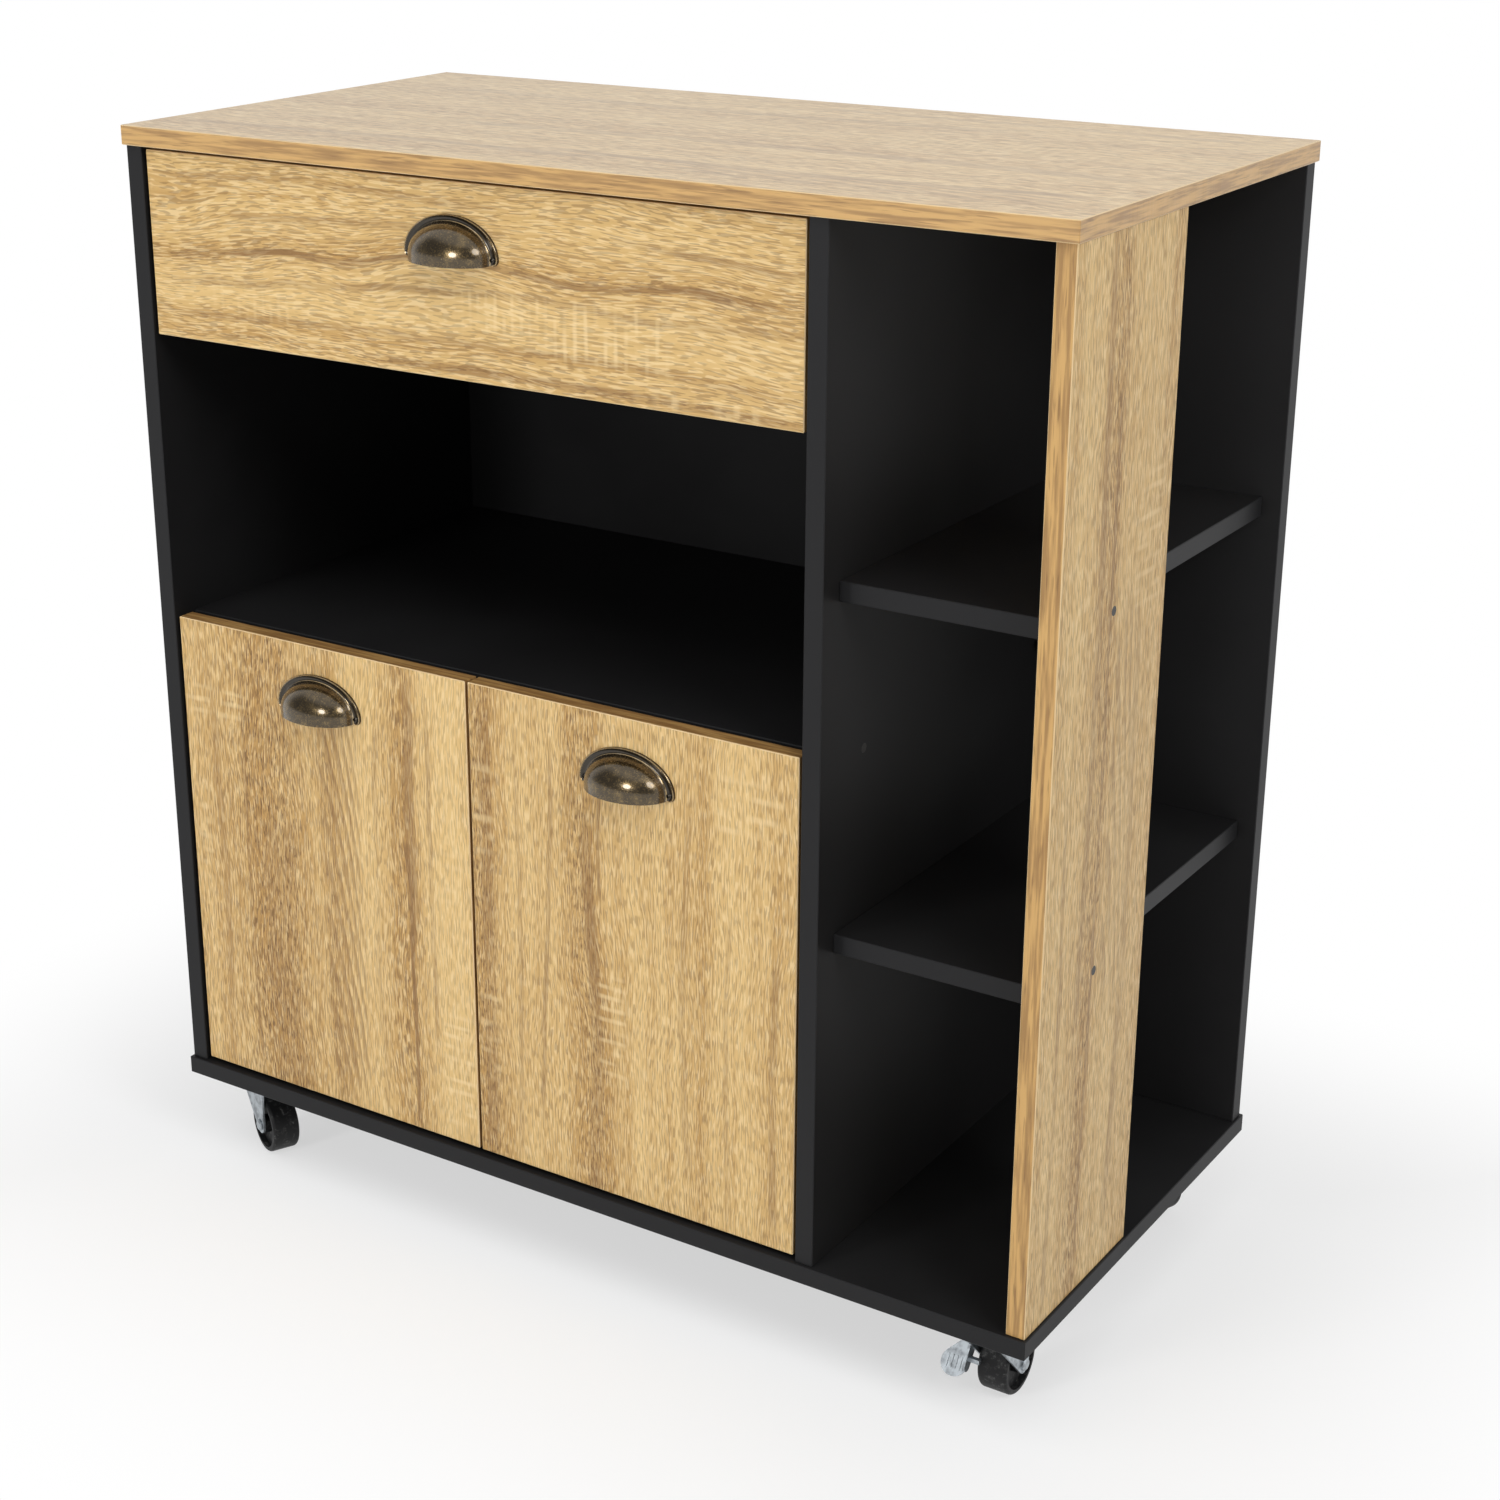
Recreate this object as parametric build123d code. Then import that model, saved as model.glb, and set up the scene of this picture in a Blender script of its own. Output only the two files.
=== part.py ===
from build123d import *
from collections import namedtuple
import os

# Buffet cabinet on casters. Millimetres, +Z up, front towards -Y, floor at Z = 0.
# The origin is on the floor, under the middle of the overall box.

Screw = namedtuple("Screw", "head_radius head_length shank_radius length")

# Carcass
WIDTH = 800.0                # top and base panels, left to right
DEPTH = 400.0                # top and base panels, front to back
UPRIGHT_HEIGHT = 777.0       # clear height between the base and the top
BOARD = 15.0                 # melamine board
BACK_BOARD = 3.0             # hardboard behind the drawer, niche and cupboard
EASED_EDGE = 0.6             # arris taken off the edge bands
SIDE_INSET = 2.0             # uprights stand in from the sides of the top
FRONT_INSET = 3.0            # uprights stand back from the front of the top
BAY_WIDTH = 160.0            # open side bay, between divider and end panel
END_PANEL_DEPTH = 167.0      # the end panel closes only the front of the bay's side
SHELF_SETBACK = 22.0         # side shelves behind the upright fronts
NICHE_FLOOR = 401.5          # niche floor above the base panel

# Drawer front and doors, inset between the left side panel and the divider
FRONT_RECESS = 2.0           # faces behind the upright fronts
SIDE_GAP = 3.0               # front to upright
DOOR_GAP = 2.5               # door to door
DOOR_FOOT_GAP = 3.5          # door to base
DOOR_BACK_GAP = 5.0          # door back to the niche shelf's front edge
DRAWER_TOP_GAP = 2.5         # drawer front to top panel
DRAWER_FRONT_HEIGHT = 142.0

# Cup pulls
PULL_WIDTH = 84.0
PULL_PROJECTION = 24.0       # also the dome's radius
PULL_RIM = 5.0               # rim outside the dome
PULL_RIM_THICKNESS = 2.3
PULL_BEAD = 1.5              # raised bead round the rim
PULL_BEAD_ROUND = 0.6
PULL_HOLLOW = 0.9            # the band inside the bead, below the bead's top
PULL_ROOT = 0.8              # fillet where the dome leaves the band
PULL_WALL = 1.6
PULL_END_WALL = 2.4          # flat inner ends of the dome
PULL_EAR_RADIUS = 4.6        # round ends of the rim, where the screws sit
PULL_END = 7.0               # end of the dome to the end of the rim
PULL_DROP = 23.0             # top of the front to the top of the pull

# Drawer box
DRAWER_SIDE = 12.0
DRAWER_SIDE_HEIGHT = 96.0
DRAWER_BACK_GAP = 27.0       # drawer box to back board
DRAWER_BOTTOM_SHEET = 3.0
GROOVE_DEPTH = 5.0           # the bottom sheet's tongue in the sides and front
GROOVE_RISE = 8.0            # the sheet above the lower edge of the sides

# Roller runners
RUNNER_GAP = 12.7            # upright to drawer side
RUNNER_SHEET = 1.2
RUNNER_HEIGHT = 22.0         # inside the channel
RUNNER_FLANGE = 10.5         # channel width over its web
RUNNER_RISE = 14.0           # channel floor above the drawer front's lower edge
RUNNER_START = 2.0           # channel's front end behind the drawer front
RUNNER_SCREW_INSET = 52.0    # screws from the channel's ends
RAIL_CLEARANCE = 2.4         # drawer rail's wing from the upright
ROLLER_RADIUS = 8.5
ROLLER_WIDTH = 7.0
ROLLER_EDGE = 0.9
ROLLER_PIN = 2.5
ROLLER_INSET = 12.0          # roller axis from the end of its rail
ROLLER_LIFT = 0.8            # front roller above the channel floor

# Concealed cup hinges: a cup in the door, a fixed gooseneck arm, one pin
HINGE_INSET = 75.0           # hinge centre from the door's top and bottom
CUP_RADIUS = 17.5
CUP_DEPTH = 12.0
CUP_WALL = 0.8
CUP_EDGE = 4.0               # door edge to cup
CUP_EAR_THICKNESS = 2.0
CUP_FLANGE = 1.0
CUP_SCREW_SPREAD = 48.0
CUP_SCREW_OFFSET = 8.0       # cup screws further from the door's edge than the cup's centre
HINGE_PIN = 1.5
HINGE_PIN_INSET = 9.0        # door edge to pin
HINGE_PIN_DEPTH = 6.5        # door face to pin
ARM_WIDTH = 15.0
ARM_THICKNESS = 1.6
ARM_NECK = 25.0              # neck from the upright, where it leaves the cup
ARM_BEND = 3.2
ARM_KNUCKLE = 2.3
ARM_TURN = 10.0              # the neck runs straight this far behind the door's back
ARM_STANDOFF = 8.0           # straight stretch of the arm from the upright
ARM_LENGTH = 92.0            # end of the arm behind the door's face
HINGE_PLATE_SETBACK = 53.0   # plate screws behind the door's face
HINGE_PLATE_SHEET = 2.0
HINGE_PLATE_SPREAD = 32.0
HINGE_BOSS_WIDTH = 12.0

# Casters: zinc plate and fork, black wheel, trailing behind the swivel
CASTER_HEIGHT = 73.0
CASTER_SIDE_INSET = 44.0     # swivel axis from the base's side
CASTER_FRONT_INSET = 46.5    # swivel axis from the base's front or back
CASTER_PLATE_LENGTH = 56.0
CASTER_PLATE_DEPTH = 48.0
CASTER_PLATE = 2.2
CASTER_PLATE_CORNER = 4.5
CASTER_HOLE_LENGTH = 44.0
CASTER_HOLE_DEPTH = 36.0
TRAIL = 17.0
WHEEL_RADIUS = 25.0
WHEEL_WIDTH = 24.0
WHEEL_SHOULDER = 2.6
WHEEL_RIM = 4.4              # tread and rim outside the side recess
WHEEL_RECESS = 5.0
HUB_RADIUS = 8.0
AXLE_RADIUS = 3.0
AXLE_HEAD_RADIUS = 5.0
AXLE_HEAD = 2.2
FORK_SHEET = 1.8
FORK_CLEARANCE = 1.0         # wheel face to fork leg
FORK_CROWN = 63.5            # top of the crown above the floor
FORK_BEND = 6.0
FORK_FOOT_RADIUS = 7.5
FORK_LEAD = 23.0             # crown ahead of the swivel axis
RACE_RADIUS = 17.6
RACE_TOP_RADIUS = 9.0
RACE_COVER_WALL = 1.6
RACE_COVER_SKIRT = 4.8
KINGPIN_RADIUS = 4.0
KINGPIN_HEAD_RADIUS = 7.0
KINGPIN_HEAD = 2.6

# Foot brake on the outside of a fork leg
BRAKE_SHEET = 2.0
BRAKE_PIN = 2.0
BRAKE_PIN_LEAD = 4.0         # pin ahead of the swivel axis
BRAKE_PIN_HEIGHT = 50.0
BRAKE_PIN_BOSS = 5.5
BRAKE_RIVET = 1.0
BRAKE_RIVET_RADIUS = 3.0
BRAKE_REACH_LEAD = 17.0      # pedal bend ahead of the swivel axis
BRAKE_REACH_HEIGHT = 31.0
BRAKE_ARM_END = 4.5
PEDAL_RADIUS = 10.5
PEDAL_REACH = 11.0           # pedal centre outside the arm
PEDAL_NECK_RADIUS = 3.5      # top of the flange that the pedal hangs from
PEDAL_NECK_LENGTH = 19.0     # along the arm, up from the pedal
PEDAL_RIBS = 4
PEDAL_RIB = 0.7
PEDAL_RIB_WIDTH = 1.4
PEDAL_RIB_PITCH = 3.6
BRAKE_TOE = 3.5
BRAKE_TOE_LENGTH = 6.0       # reaches this far over the tread from the fork leg
BRAKE_TOE_LEAD = 12.6
BRAKE_TOE_HEIGHT = 35.0

# Fits
FIT = 0.05                   # a pin, screw or shaft in its hole
RUNNING_GAP = 0.3            # faces that move past each other

# Fasteners
JOINT_GRIP = 30.0            # joint screw in the edge of the second board
SCREW_COVER = 3.0            # board left over the point of a short screw
JOINT_SCREW = Screw(3.5, 1.5, 2.5, BOARD + JOINT_GRIP)
CASTER_SCREW = Screw(4.2, 2.4, 2.0, CASTER_PLATE + BOARD - SCREW_COVER)
RUNNER_SCREW = Screw(3.2, 1.2, 1.7, RUNNER_SHEET + BOARD - SCREW_COVER)
PLATE_SCREW = Screw(3.4, 1.8, 1.7, HINGE_PLATE_SHEET + BOARD - SCREW_COVER)
ARM_SCREW = Screw(3.4, 1.8, 1.7, ARM_STANDOFF)
CUP_SCREW = Screw(3.2, 1.6, 1.6, CUP_FLANGE + BOARD - SCREW_COVER)
PULL_SCREW = Screw(2.3, 1.1, 1.5, PULL_RIM_THICKNESS - PULL_HOLLOW + BOARD - SCREW_COVER)
JOINT_SCREW_FRONT = 61.0     # joint screws behind the upright fronts
JOINT_SCREW_REAR = 61.0      # and ahead of the upright backs
CAM_RADIUS = 7.5
CAM_DEPTH = 12.0
CAM_DROP = 24.0              # cam centre below the top panel
CAM_INSET = 42.0             # cams of the end and rear panels from their upright edges
CAM_BOLT_RADIUS = 3.0
CAM_BOLT_GRIP = 9.0          # bolt in the top panel

# Places that follow from the sizes
PULL_OVERHANG = PULL_PROJECTION - FRONT_INSET - FRONT_RECESS
TOP_FRONT = -(DEPTH - PULL_OVERHANG) / 2
TOP_BACK = TOP_FRONT + DEPTH
UPRIGHT_FRONT = TOP_FRONT + FRONT_INSET
UPRIGHT_BACK = TOP_BACK - BACK_BOARD
FACE_FRONT = UPRIGHT_FRONT + FRONT_RECESS
FACE_BACK = FACE_FRONT + BOARD
BASE_TOP = CASTER_HEIGHT + BOARD
TOP_UNDER = BASE_TOP + UPRIGHT_HEIGHT
LEFT_OUT = -WIDTH / 2 + SIDE_INSET
LEFT_IN = LEFT_OUT + BOARD
END_OUT = WIDTH / 2 - SIDE_INSET
END_IN = END_OUT - BOARD
DIVIDER_RIGHT = END_IN - BAY_WIDTH
DIVIDER_LEFT = DIVIDER_RIGHT - BOARD
NICHE_TOP = BASE_TOP + NICHE_FLOOR
BAY_CELL = (UPRIGHT_HEIGHT - 2 * BOARD) / 3
LOWER_SHELF = BASE_TOP + BAY_CELL
UPPER_SHELF = LOWER_SHELF + BOARD + BAY_CELL
END_BACK = UPRIGHT_FRONT + END_PANEL_DEPTH
REAR_FRONT = UPRIGHT_BACK - BOARD
FACE_LEFT = LEFT_IN + SIDE_GAP
FACE_RIGHT = DIVIDER_LEFT - SIDE_GAP
DOOR_WIDTH = (FACE_RIGHT - FACE_LEFT - DOOR_GAP) / 2
DOOR_BOTTOM = BASE_TOP + DOOR_FOOT_GAP
DRAWER_TOP = TOP_UNDER - DRAWER_TOP_GAP
DRAWER_BOTTOM = DRAWER_TOP - DRAWER_FRONT_HEIGHT
RUNNER_FLOOR = DRAWER_BOTTOM + RUNNER_RISE
RUNNER_FRONT = FACE_BACK + RUNNER_START
RAIL_TOP = RUNNER_FLOOR + ROLLER_LIFT + 2 * ROLLER_RADIUS + RUNNING_GAP + RUNNER_SHEET
BOX_BOTTOM = RUNNER_FLOOR + RUNNING_GAP + RUNNER_SHEET
BOX_LEFT = LEFT_IN + RUNNER_GAP
BOX_RIGHT = DIVIDER_LEFT - RUNNER_GAP
BOX_BACK = UPRIGHT_BACK - DRAWER_BACK_GAP
DRAWER_LENGTH = BOX_BACK - FACE_BACK
RUNNER_LENGTH = DRAWER_LENGTH
SHEET_BOTTOM = BOX_BOTTOM + GROOVE_RISE
HINGE_HEIGHTS = (DOOR_BOTTOM + HINGE_INSET, NICHE_TOP - HINGE_INSET)
LEG_INSIDE = WHEEL_WIDTH / 2 + FORK_CLEARANCE
LEG_OUTSIDE = LEG_INSIDE + FORK_SHEET
FORK_TAIL = TRAIL + FORK_FOOT_RADIUS
PULL_LIP = PULL_EAR_RADIUS

# Each swivel stands where it was last pushed: degrees from +X to the wheel's trailing side
Caster = namedtuple("Caster", "name x y turn braked")
CASTER_X = WIDTH / 2 - CASTER_SIDE_INSET
CASTER_FRONT = TOP_FRONT + CASTER_FRONT_INSET
CASTER_BACK = TOP_BACK - CASTER_FRONT_INSET
CASTERS = (
    Caster("front_left", -CASTER_X, CASTER_FRONT, -26.0, False),
    Caster("front_right", CASTER_X, CASTER_FRONT, 90.0, True),
    Caster("rear_left", -CASTER_X, CASTER_BACK, 24.0, True),
    Caster("rear_right", CASTER_X, CASTER_BACK, 158.0, False),
)

LOW = (Align.CENTER, Align.CENTER, Align.MIN)
HIGH = (Align.CENTER, Align.CENTER, Align.MAX)


def block(x, y, z):
    """A plain block between (low, high) limits along each axis."""
    spans = (x, y, z)
    centre = [sum(span) / 2 for span in spans]
    return Pos(*centre) * Box(*(high - low for low, high in spans))


def board(x, y, z):
    """A melamine board with its arrises eased."""
    panel = block(x, y, z)
    return chamfer(panel.edges(), EASED_EDGE)


def rod(start, direction, length, radius):
    return Plane(origin=start, z_dir=direction) * Cylinder(radius, length, align=LOW)


def sunk_screw(screw, seat, direction, slack=0.0):
    """A screw whose head lies flush in the seat; with slack, the hole for it."""
    head = rod(seat, direction, screw.head_length, screw.head_radius + slack)
    return head + rod(seat, direction, screw.length, screw.shank_radius + slack)


def pan_screw(screw, seat, direction):
    """A screw whose head stands on the seat."""
    head = Plane(origin=seat, z_dir=direction) * Cylinder(screw.head_radius, screw.head_length, align=HIGH)
    head = chamfer(far_rim(head, seat), screw.head_length / 3)
    return head + rod(seat, direction, screw.length, screw.shank_radius)


def far_rim(head, seat):
    """The round edge of a screw head that lies furthest from its seat."""
    rims = head.edges().filter_by(GeomType.CIRCLE)
    return max(rims, key=lambda edge: (edge.arc_center - Vector(*seat)).length)


def screw_hole(screw, seat, direction):
    return rod(seat, direction, screw.length, screw.shank_radius + FIT)


def prism(points, length, direction):
    """A closed outline of points in space, extruded along a direction."""
    return extrude(make_face(Polyline(*points, close=True)), amount=length, dir=direction)


# Carcass boards
def carcass():
    upright_y = (UPRIGHT_FRONT, UPRIGHT_BACK)
    upright_z = (BASE_TOP, TOP_UNDER)
    slab = ((-WIDTH / 2, WIDTH / 2), (TOP_FRONT, TOP_BACK))
    shelf = ((DIVIDER_RIGHT, END_IN), (UPRIGHT_FRONT + SHELF_SETBACK, REAR_FRONT))
    return {
        "top_panel": board(*slab, (TOP_UNDER, TOP_UNDER + BOARD)),
        "base_panel": board(*slab, (CASTER_HEIGHT, BASE_TOP)),
        "left_side_panel": board((LEFT_OUT, LEFT_IN), upright_y, upright_z),
        "divider_panel": board((DIVIDER_LEFT, DIVIDER_RIGHT), upright_y, upright_z),
        "end_panel": board((END_IN, END_OUT), (UPRIGHT_FRONT, END_BACK), upright_z),
        "rear_panel": board((DIVIDER_RIGHT, END_OUT), (REAR_FRONT, UPRIGHT_BACK), upright_z),
        "back_board": block((LEFT_OUT, DIVIDER_RIGHT), (UPRIGHT_BACK, TOP_BACK), upright_z),
        "niche_shelf": board((LEFT_IN, DIVIDER_LEFT), (FACE_BACK + DOOR_BACK_GAP, UPRIGHT_BACK),
                             (NICHE_TOP - BOARD, NICHE_TOP)),
        "upper_side_shelf": board(*shelf, (UPPER_SHELF, UPPER_SHELF + BOARD)),
        "lower_side_shelf": board(*shelf, (LOWER_SHELF, LOWER_SHELF + BOARD)),
    }


def joint_screw_places():
    """Seat, direction and the two boards of every joint screw."""
    front = UPRIGHT_FRONT + JOINT_SCREW_FRONT
    rear = UPRIGHT_BACK - JOINT_SCREW_REAR
    niche = NICHE_TOP - BOARD / 2
    middle = (UPRIGHT_FRONT + END_BACK) / 2
    places = []
    for y in (front, rear):
        places.append(((LEFT_OUT, y, niche), (1, 0, 0), ("left_side_panel", "niche_shelf")))
        places.append(((DIVIDER_RIGHT, y, niche), (-1, 0, 0), ("divider_panel", "niche_shelf")))
        for name, x in (("left_side_panel", LEFT_IN), ("divider_panel", DIVIDER_RIGHT)):
            places.append(((x - BOARD / 2, y, CASTER_HEIGHT), (0, 0, 1), ("base_panel", name)))
    for name, z in (("upper_side_shelf", UPPER_SHELF), ("lower_side_shelf", LOWER_SHELF)):
        centre = z + BOARD / 2
        places.append(((END_OUT, middle, centre), (-1, 0, 0), ("end_panel", name)))
        for y in (front, rear):
            places.append(((DIVIDER_LEFT, y, centre), (1, 0, 0), ("divider_panel", name)))
    places.append(((END_IN + BOARD / 2, middle, CASTER_HEIGHT), (0, 0, 1), ("base_panel", "end_panel")))
    rear_x = (DIVIDER_RIGHT + END_IN) / 2
    places.append(((rear_x, REAR_FRONT + BOARD / 2, CASTER_HEIGHT), (0, 0, 1), ("base_panel", "rear_panel")))
    return places


def cam_places():
    """Face centre of every cam, the way it is bored and the board that it holds."""
    z = TOP_UNDER - CAM_DROP
    places = []
    for y in (UPRIGHT_FRONT + JOINT_SCREW_FRONT, UPRIGHT_BACK - JOINT_SCREW_REAR):
        places.append(((LEFT_IN, y, z), (-1, 0, 0), "left_side_panel"))
        places.append(((DIVIDER_LEFT, y, z), (1, 0, 0), "divider_panel"))
    for y in (UPRIGHT_FRONT + CAM_INSET, END_BACK - CAM_INSET):
        places.append(((END_IN, y, z), (1, 0, 0), "end_panel"))
    for x in (DIVIDER_RIGHT + CAM_INSET, END_IN - CAM_INSET):
        places.append(((x, UPRIGHT_BACK, z), (0, -1, 0), "rear_panel"))
    return places


def fasten_carcass(boards):
    """Joint screws and cam fittings, with their holes cut in the boards."""
    screws = []
    for seat, direction, pair in joint_screw_places():
        screws.append(sunk_screw(JOINT_SCREW, seat, direction))
        hole = sunk_screw(JOINT_SCREW, seat, direction, FIT)
        for name in pair:
            boards[name] -= hole
    cams = []
    bolts = []
    for seat, direction, name in cam_places():
        along = Vector(*direction)
        middle = Vector(*seat) + along * (BOARD / 2)
        bolt_length = CAM_DROP + CAM_BOLT_GRIP
        bolts.append(rod(middle, (0, 0, 1), bolt_length, CAM_BOLT_RADIUS))
        bolt_hole = rod(middle, (0, 0, 1), bolt_length, CAM_BOLT_RADIUS + FIT)
        cams.append(rod(seat, direction, CAM_DEPTH, CAM_RADIUS) - bolt_hole)
        boards[name] -= rod(seat, direction, CAM_DEPTH, CAM_RADIUS + FIT) + bolt_hole
        boards["top_panel"] -= bolt_hole
    boards["joint_screws"] = screws
    boards["cam_locks"] = cams
    boards["cam_bolts"] = bolts


# Cup pull
def dome(half_width, radius):
    """A half ellipse standing on X, turned a quarter forward about its long axis, over a straight lip."""
    arc = EllipticalCenterArc((0, 0), half_width, radius, 0, arc_size=180)
    section = make_face(arc + Line(arc @ 1, arc @ 0))
    lip = extrude(Plane((0, 0, 0), x_dir=(1, 0, 0), z_dir=(0, 0, -1)) * section, PULL_LIP)
    return revolve(Plane.XZ * section, Axis.X, 90) + lip


def pull_outline(inset):
    """The pull on its face: a half ellipse with a round ear at each end, less an inset all round."""
    half = PULL_WIDTH / 2
    height = PULL_PROJECTION + PULL_RIM
    upper_half = Rectangle(PULL_WIDTH, height, align=(Align.CENTER, Align.MIN))
    arch = Ellipse(half - inset, height - inset) & upper_half
    ear = Circle(PULL_EAR_RADIUS - inset)
    return arch + [Pos(side * (half - PULL_EAR_RADIUS), 0) * ear for side in (-1, 1)]


def pull(x, top):
    """A cup pull on the face of a front: the pull, its screws and their holes."""
    half = PULL_WIDTH / 2
    rim_height = PULL_PROJECTION + PULL_RIM
    ear_x = half - PULL_EAR_RADIUS
    band = PULL_RIM_THICKNESS - PULL_HOLLOW
    rim = extrude(Plane.XZ * pull_outline(0), PULL_RIM_THICKNESS)
    rim = fillet(rim.faces().sort_by(Axis.Y)[0].edges(), PULL_BEAD_ROUND)
    rim -= Pos(0, -band, 0) * extrude(Plane.XZ * pull_outline(PULL_BEAD), PULL_HOLLOW)
    seats = [(side * ear_x, -band, 0) for side in (-1, 1)]
    holes = Compound([sunk_screw(PULL_SCREW, seat, (0, 1, 0), FIT) for seat in seats])
    dome_half = half - PULL_END
    room_half = dome_half - PULL_END_WALL
    room = block((-room_half, room_half), (-PULL_PROJECTION, 0), (-PULL_LIP, PULL_PROJECTION))
    room &= dome(dome_half - PULL_WALL, PULL_PROJECTION - PULL_WALL)
    cup = rim + dome(dome_half, PULL_PROJECTION)
    roots = cup.edges().filter_by(GeomType.BSPLINE).filter_by_position(Axis.Y, -band - FIT, -band + FIT)
    cup = fillet(roots, PULL_ROOT) - room - holes
    place = Pos(x, FACE_FRONT, top - PULL_DROP - rim_height)
    screws = [place * sunk_screw(PULL_SCREW, seat, (0, 1, 0)) for seat in seats]
    return place * cup, screws, place * holes


# Drawer
def drawer(nodes):
    centre = (FACE_LEFT + FACE_RIGHT) / 2
    handle, screws, holes = pull(centre, DRAWER_TOP)
    inside = (BOX_LEFT + DRAWER_SIDE, BOX_RIGHT - DRAWER_SIDE)
    box_z = (BOX_BOTTOM, BOX_BOTTOM + DRAWER_SIDE_HEIGHT)
    sheet_x = (inside[0] - GROOVE_DEPTH, inside[1] + GROOVE_DEPTH)
    sheet_y = (FACE_BACK - GROOVE_DEPTH, BOX_BACK)
    sheet_z = (SHEET_BOTTOM, SHEET_BOTTOM + DRAWER_BOTTOM_SHEET)
    groove = block(*((low - FIT, high + FIT) for low, high in (sheet_x, sheet_y, sheet_z)))
    front = board((FACE_LEFT, FACE_RIGHT), (FACE_FRONT, FACE_BACK), (DRAWER_BOTTOM, DRAWER_TOP))
    nodes["drawer_front"] = front - holes - groove
    nodes["drawer_left_side"] = block((BOX_LEFT, inside[0]), (FACE_BACK, BOX_BACK), box_z) - groove
    nodes["drawer_right_side"] = block((inside[1], BOX_RIGHT), (FACE_BACK, BOX_BACK), box_z) - groove
    nodes["drawer_back"] = block(inside, (BOX_BACK - DRAWER_SIDE, BOX_BACK), (sheet_z[1], box_z[1]))
    nodes["drawer_bottom"] = block(sheet_x, sheet_y, sheet_z)
    nodes["drawer_handle"] = handle
    nodes["drawer_handle_screws"] = screws


def roller(x, y, z):
    """A nylon roller on a pin along X, from its middle."""
    wheel = rod((x - ROLLER_WIDTH / 2, y, z), (1, 0, 0), ROLLER_WIDTH, ROLLER_RADIUS)
    wheel = chamfer(wheel.edges().filter_by(GeomType.CIRCLE), ROLLER_EDGE)
    return wheel - rod((x - ROLLER_WIDTH, y, z), (1, 0, 0), 2 * ROLLER_WIDTH, ROLLER_PIN + FIT)


def runners(nodes):
    """Channel and roller on each upright; rail and roller on each drawer side."""
    sheet = RUNNER_SHEET
    front_y = RUNNER_FRONT + ROLLER_INSET
    front_z = RUNNER_FLOOR + ROLLER_LIFT + ROLLER_RADIUS
    rear_y = BOX_BACK - ROLLER_INSET
    rear_z = RUNNER_FLOOR + RUNNING_GAP + ROLLER_RADIUS
    half = ROLLER_WIDTH / 2
    nodes["runner_screws"] = []
    nodes["front_rollers"] = []
    nodes["rear_rollers"] = []
    for side, face, inward, upright in (("left", LEFT_IN, 1, "left_side_panel"),
                                        ("right", DIVIDER_LEFT, -1, "divider_panel")):
        def at(depth):
            return face + inward * depth

        channel = [(0, -sheet), (RUNNER_FLANGE, -sheet), (RUNNER_FLANGE, 0), (sheet, 0),
                   (sheet, RUNNER_HEIGHT), (RUNNER_FLANGE, RUNNER_HEIGHT),
                   (RUNNER_FLANGE, RUNNER_HEIGHT + sheet), (0, RUNNER_HEIGHT + sheet)]
        outline = [(at(t), RUNNER_FRONT, RUNNER_FLOOR + z) for t, z in channel]
        runner = prism(outline, RUNNER_LENGTH, (0, 1, 0))
        front_x = sheet + RUNNING_GAP + half
        runner += rod((at(0), front_y, front_z), (inward, 0, 0), front_x + half + RUNNING_GAP, ROLLER_PIN)
        for y in (RUNNER_FRONT + RUNNER_SCREW_INSET, RUNNER_FRONT + RUNNER_LENGTH - RUNNER_SCREW_INSET):
            seat = (at(sheet), y, RUNNER_FLOOR + RUNNER_HEIGHT / 2)
            nodes["runner_screws"].append(pan_screw(RUNNER_SCREW, seat, (-inward, 0, 0)))
            hole = screw_hole(RUNNER_SCREW, seat, (-inward, 0, 0))
            runner -= hole
            nodes[upright] -= hole
        nodes[f"{side}_runner"] = runner
        nodes["front_rollers"].append(roller(at(front_x), front_y, front_z))

        web = RUNNER_GAP - sheet
        shelf = RUNNER_GAP + DRAWER_SIDE
        profile = [(RAIL_CLEARANCE, RAIL_TOP - sheet), (web, RAIL_TOP - sheet), (web, BOX_BOTTOM - sheet),
                   (shelf, BOX_BOTTOM - sheet), (shelf, BOX_BOTTOM), (RUNNER_GAP, BOX_BOTTOM),
                   (RUNNER_GAP, RAIL_TOP), (RAIL_CLEARANCE, RAIL_TOP)]
        rail = prism([(at(t), FACE_BACK, z) for t, z in profile], DRAWER_LENGTH, (0, 1, 0))
        rear_x = web - RUNNING_GAP - half
        pin_length = RUNNER_GAP - rear_x + half + RUNNING_GAP
        rail += rod((at(RUNNER_GAP), rear_y, rear_z), (-inward, 0, 0), pin_length, ROLLER_PIN)
        nodes[f"{side}_drawer_rail"] = rail
        nodes["rear_rollers"].append(roller(at(rear_x), rear_y, rear_z))


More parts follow.
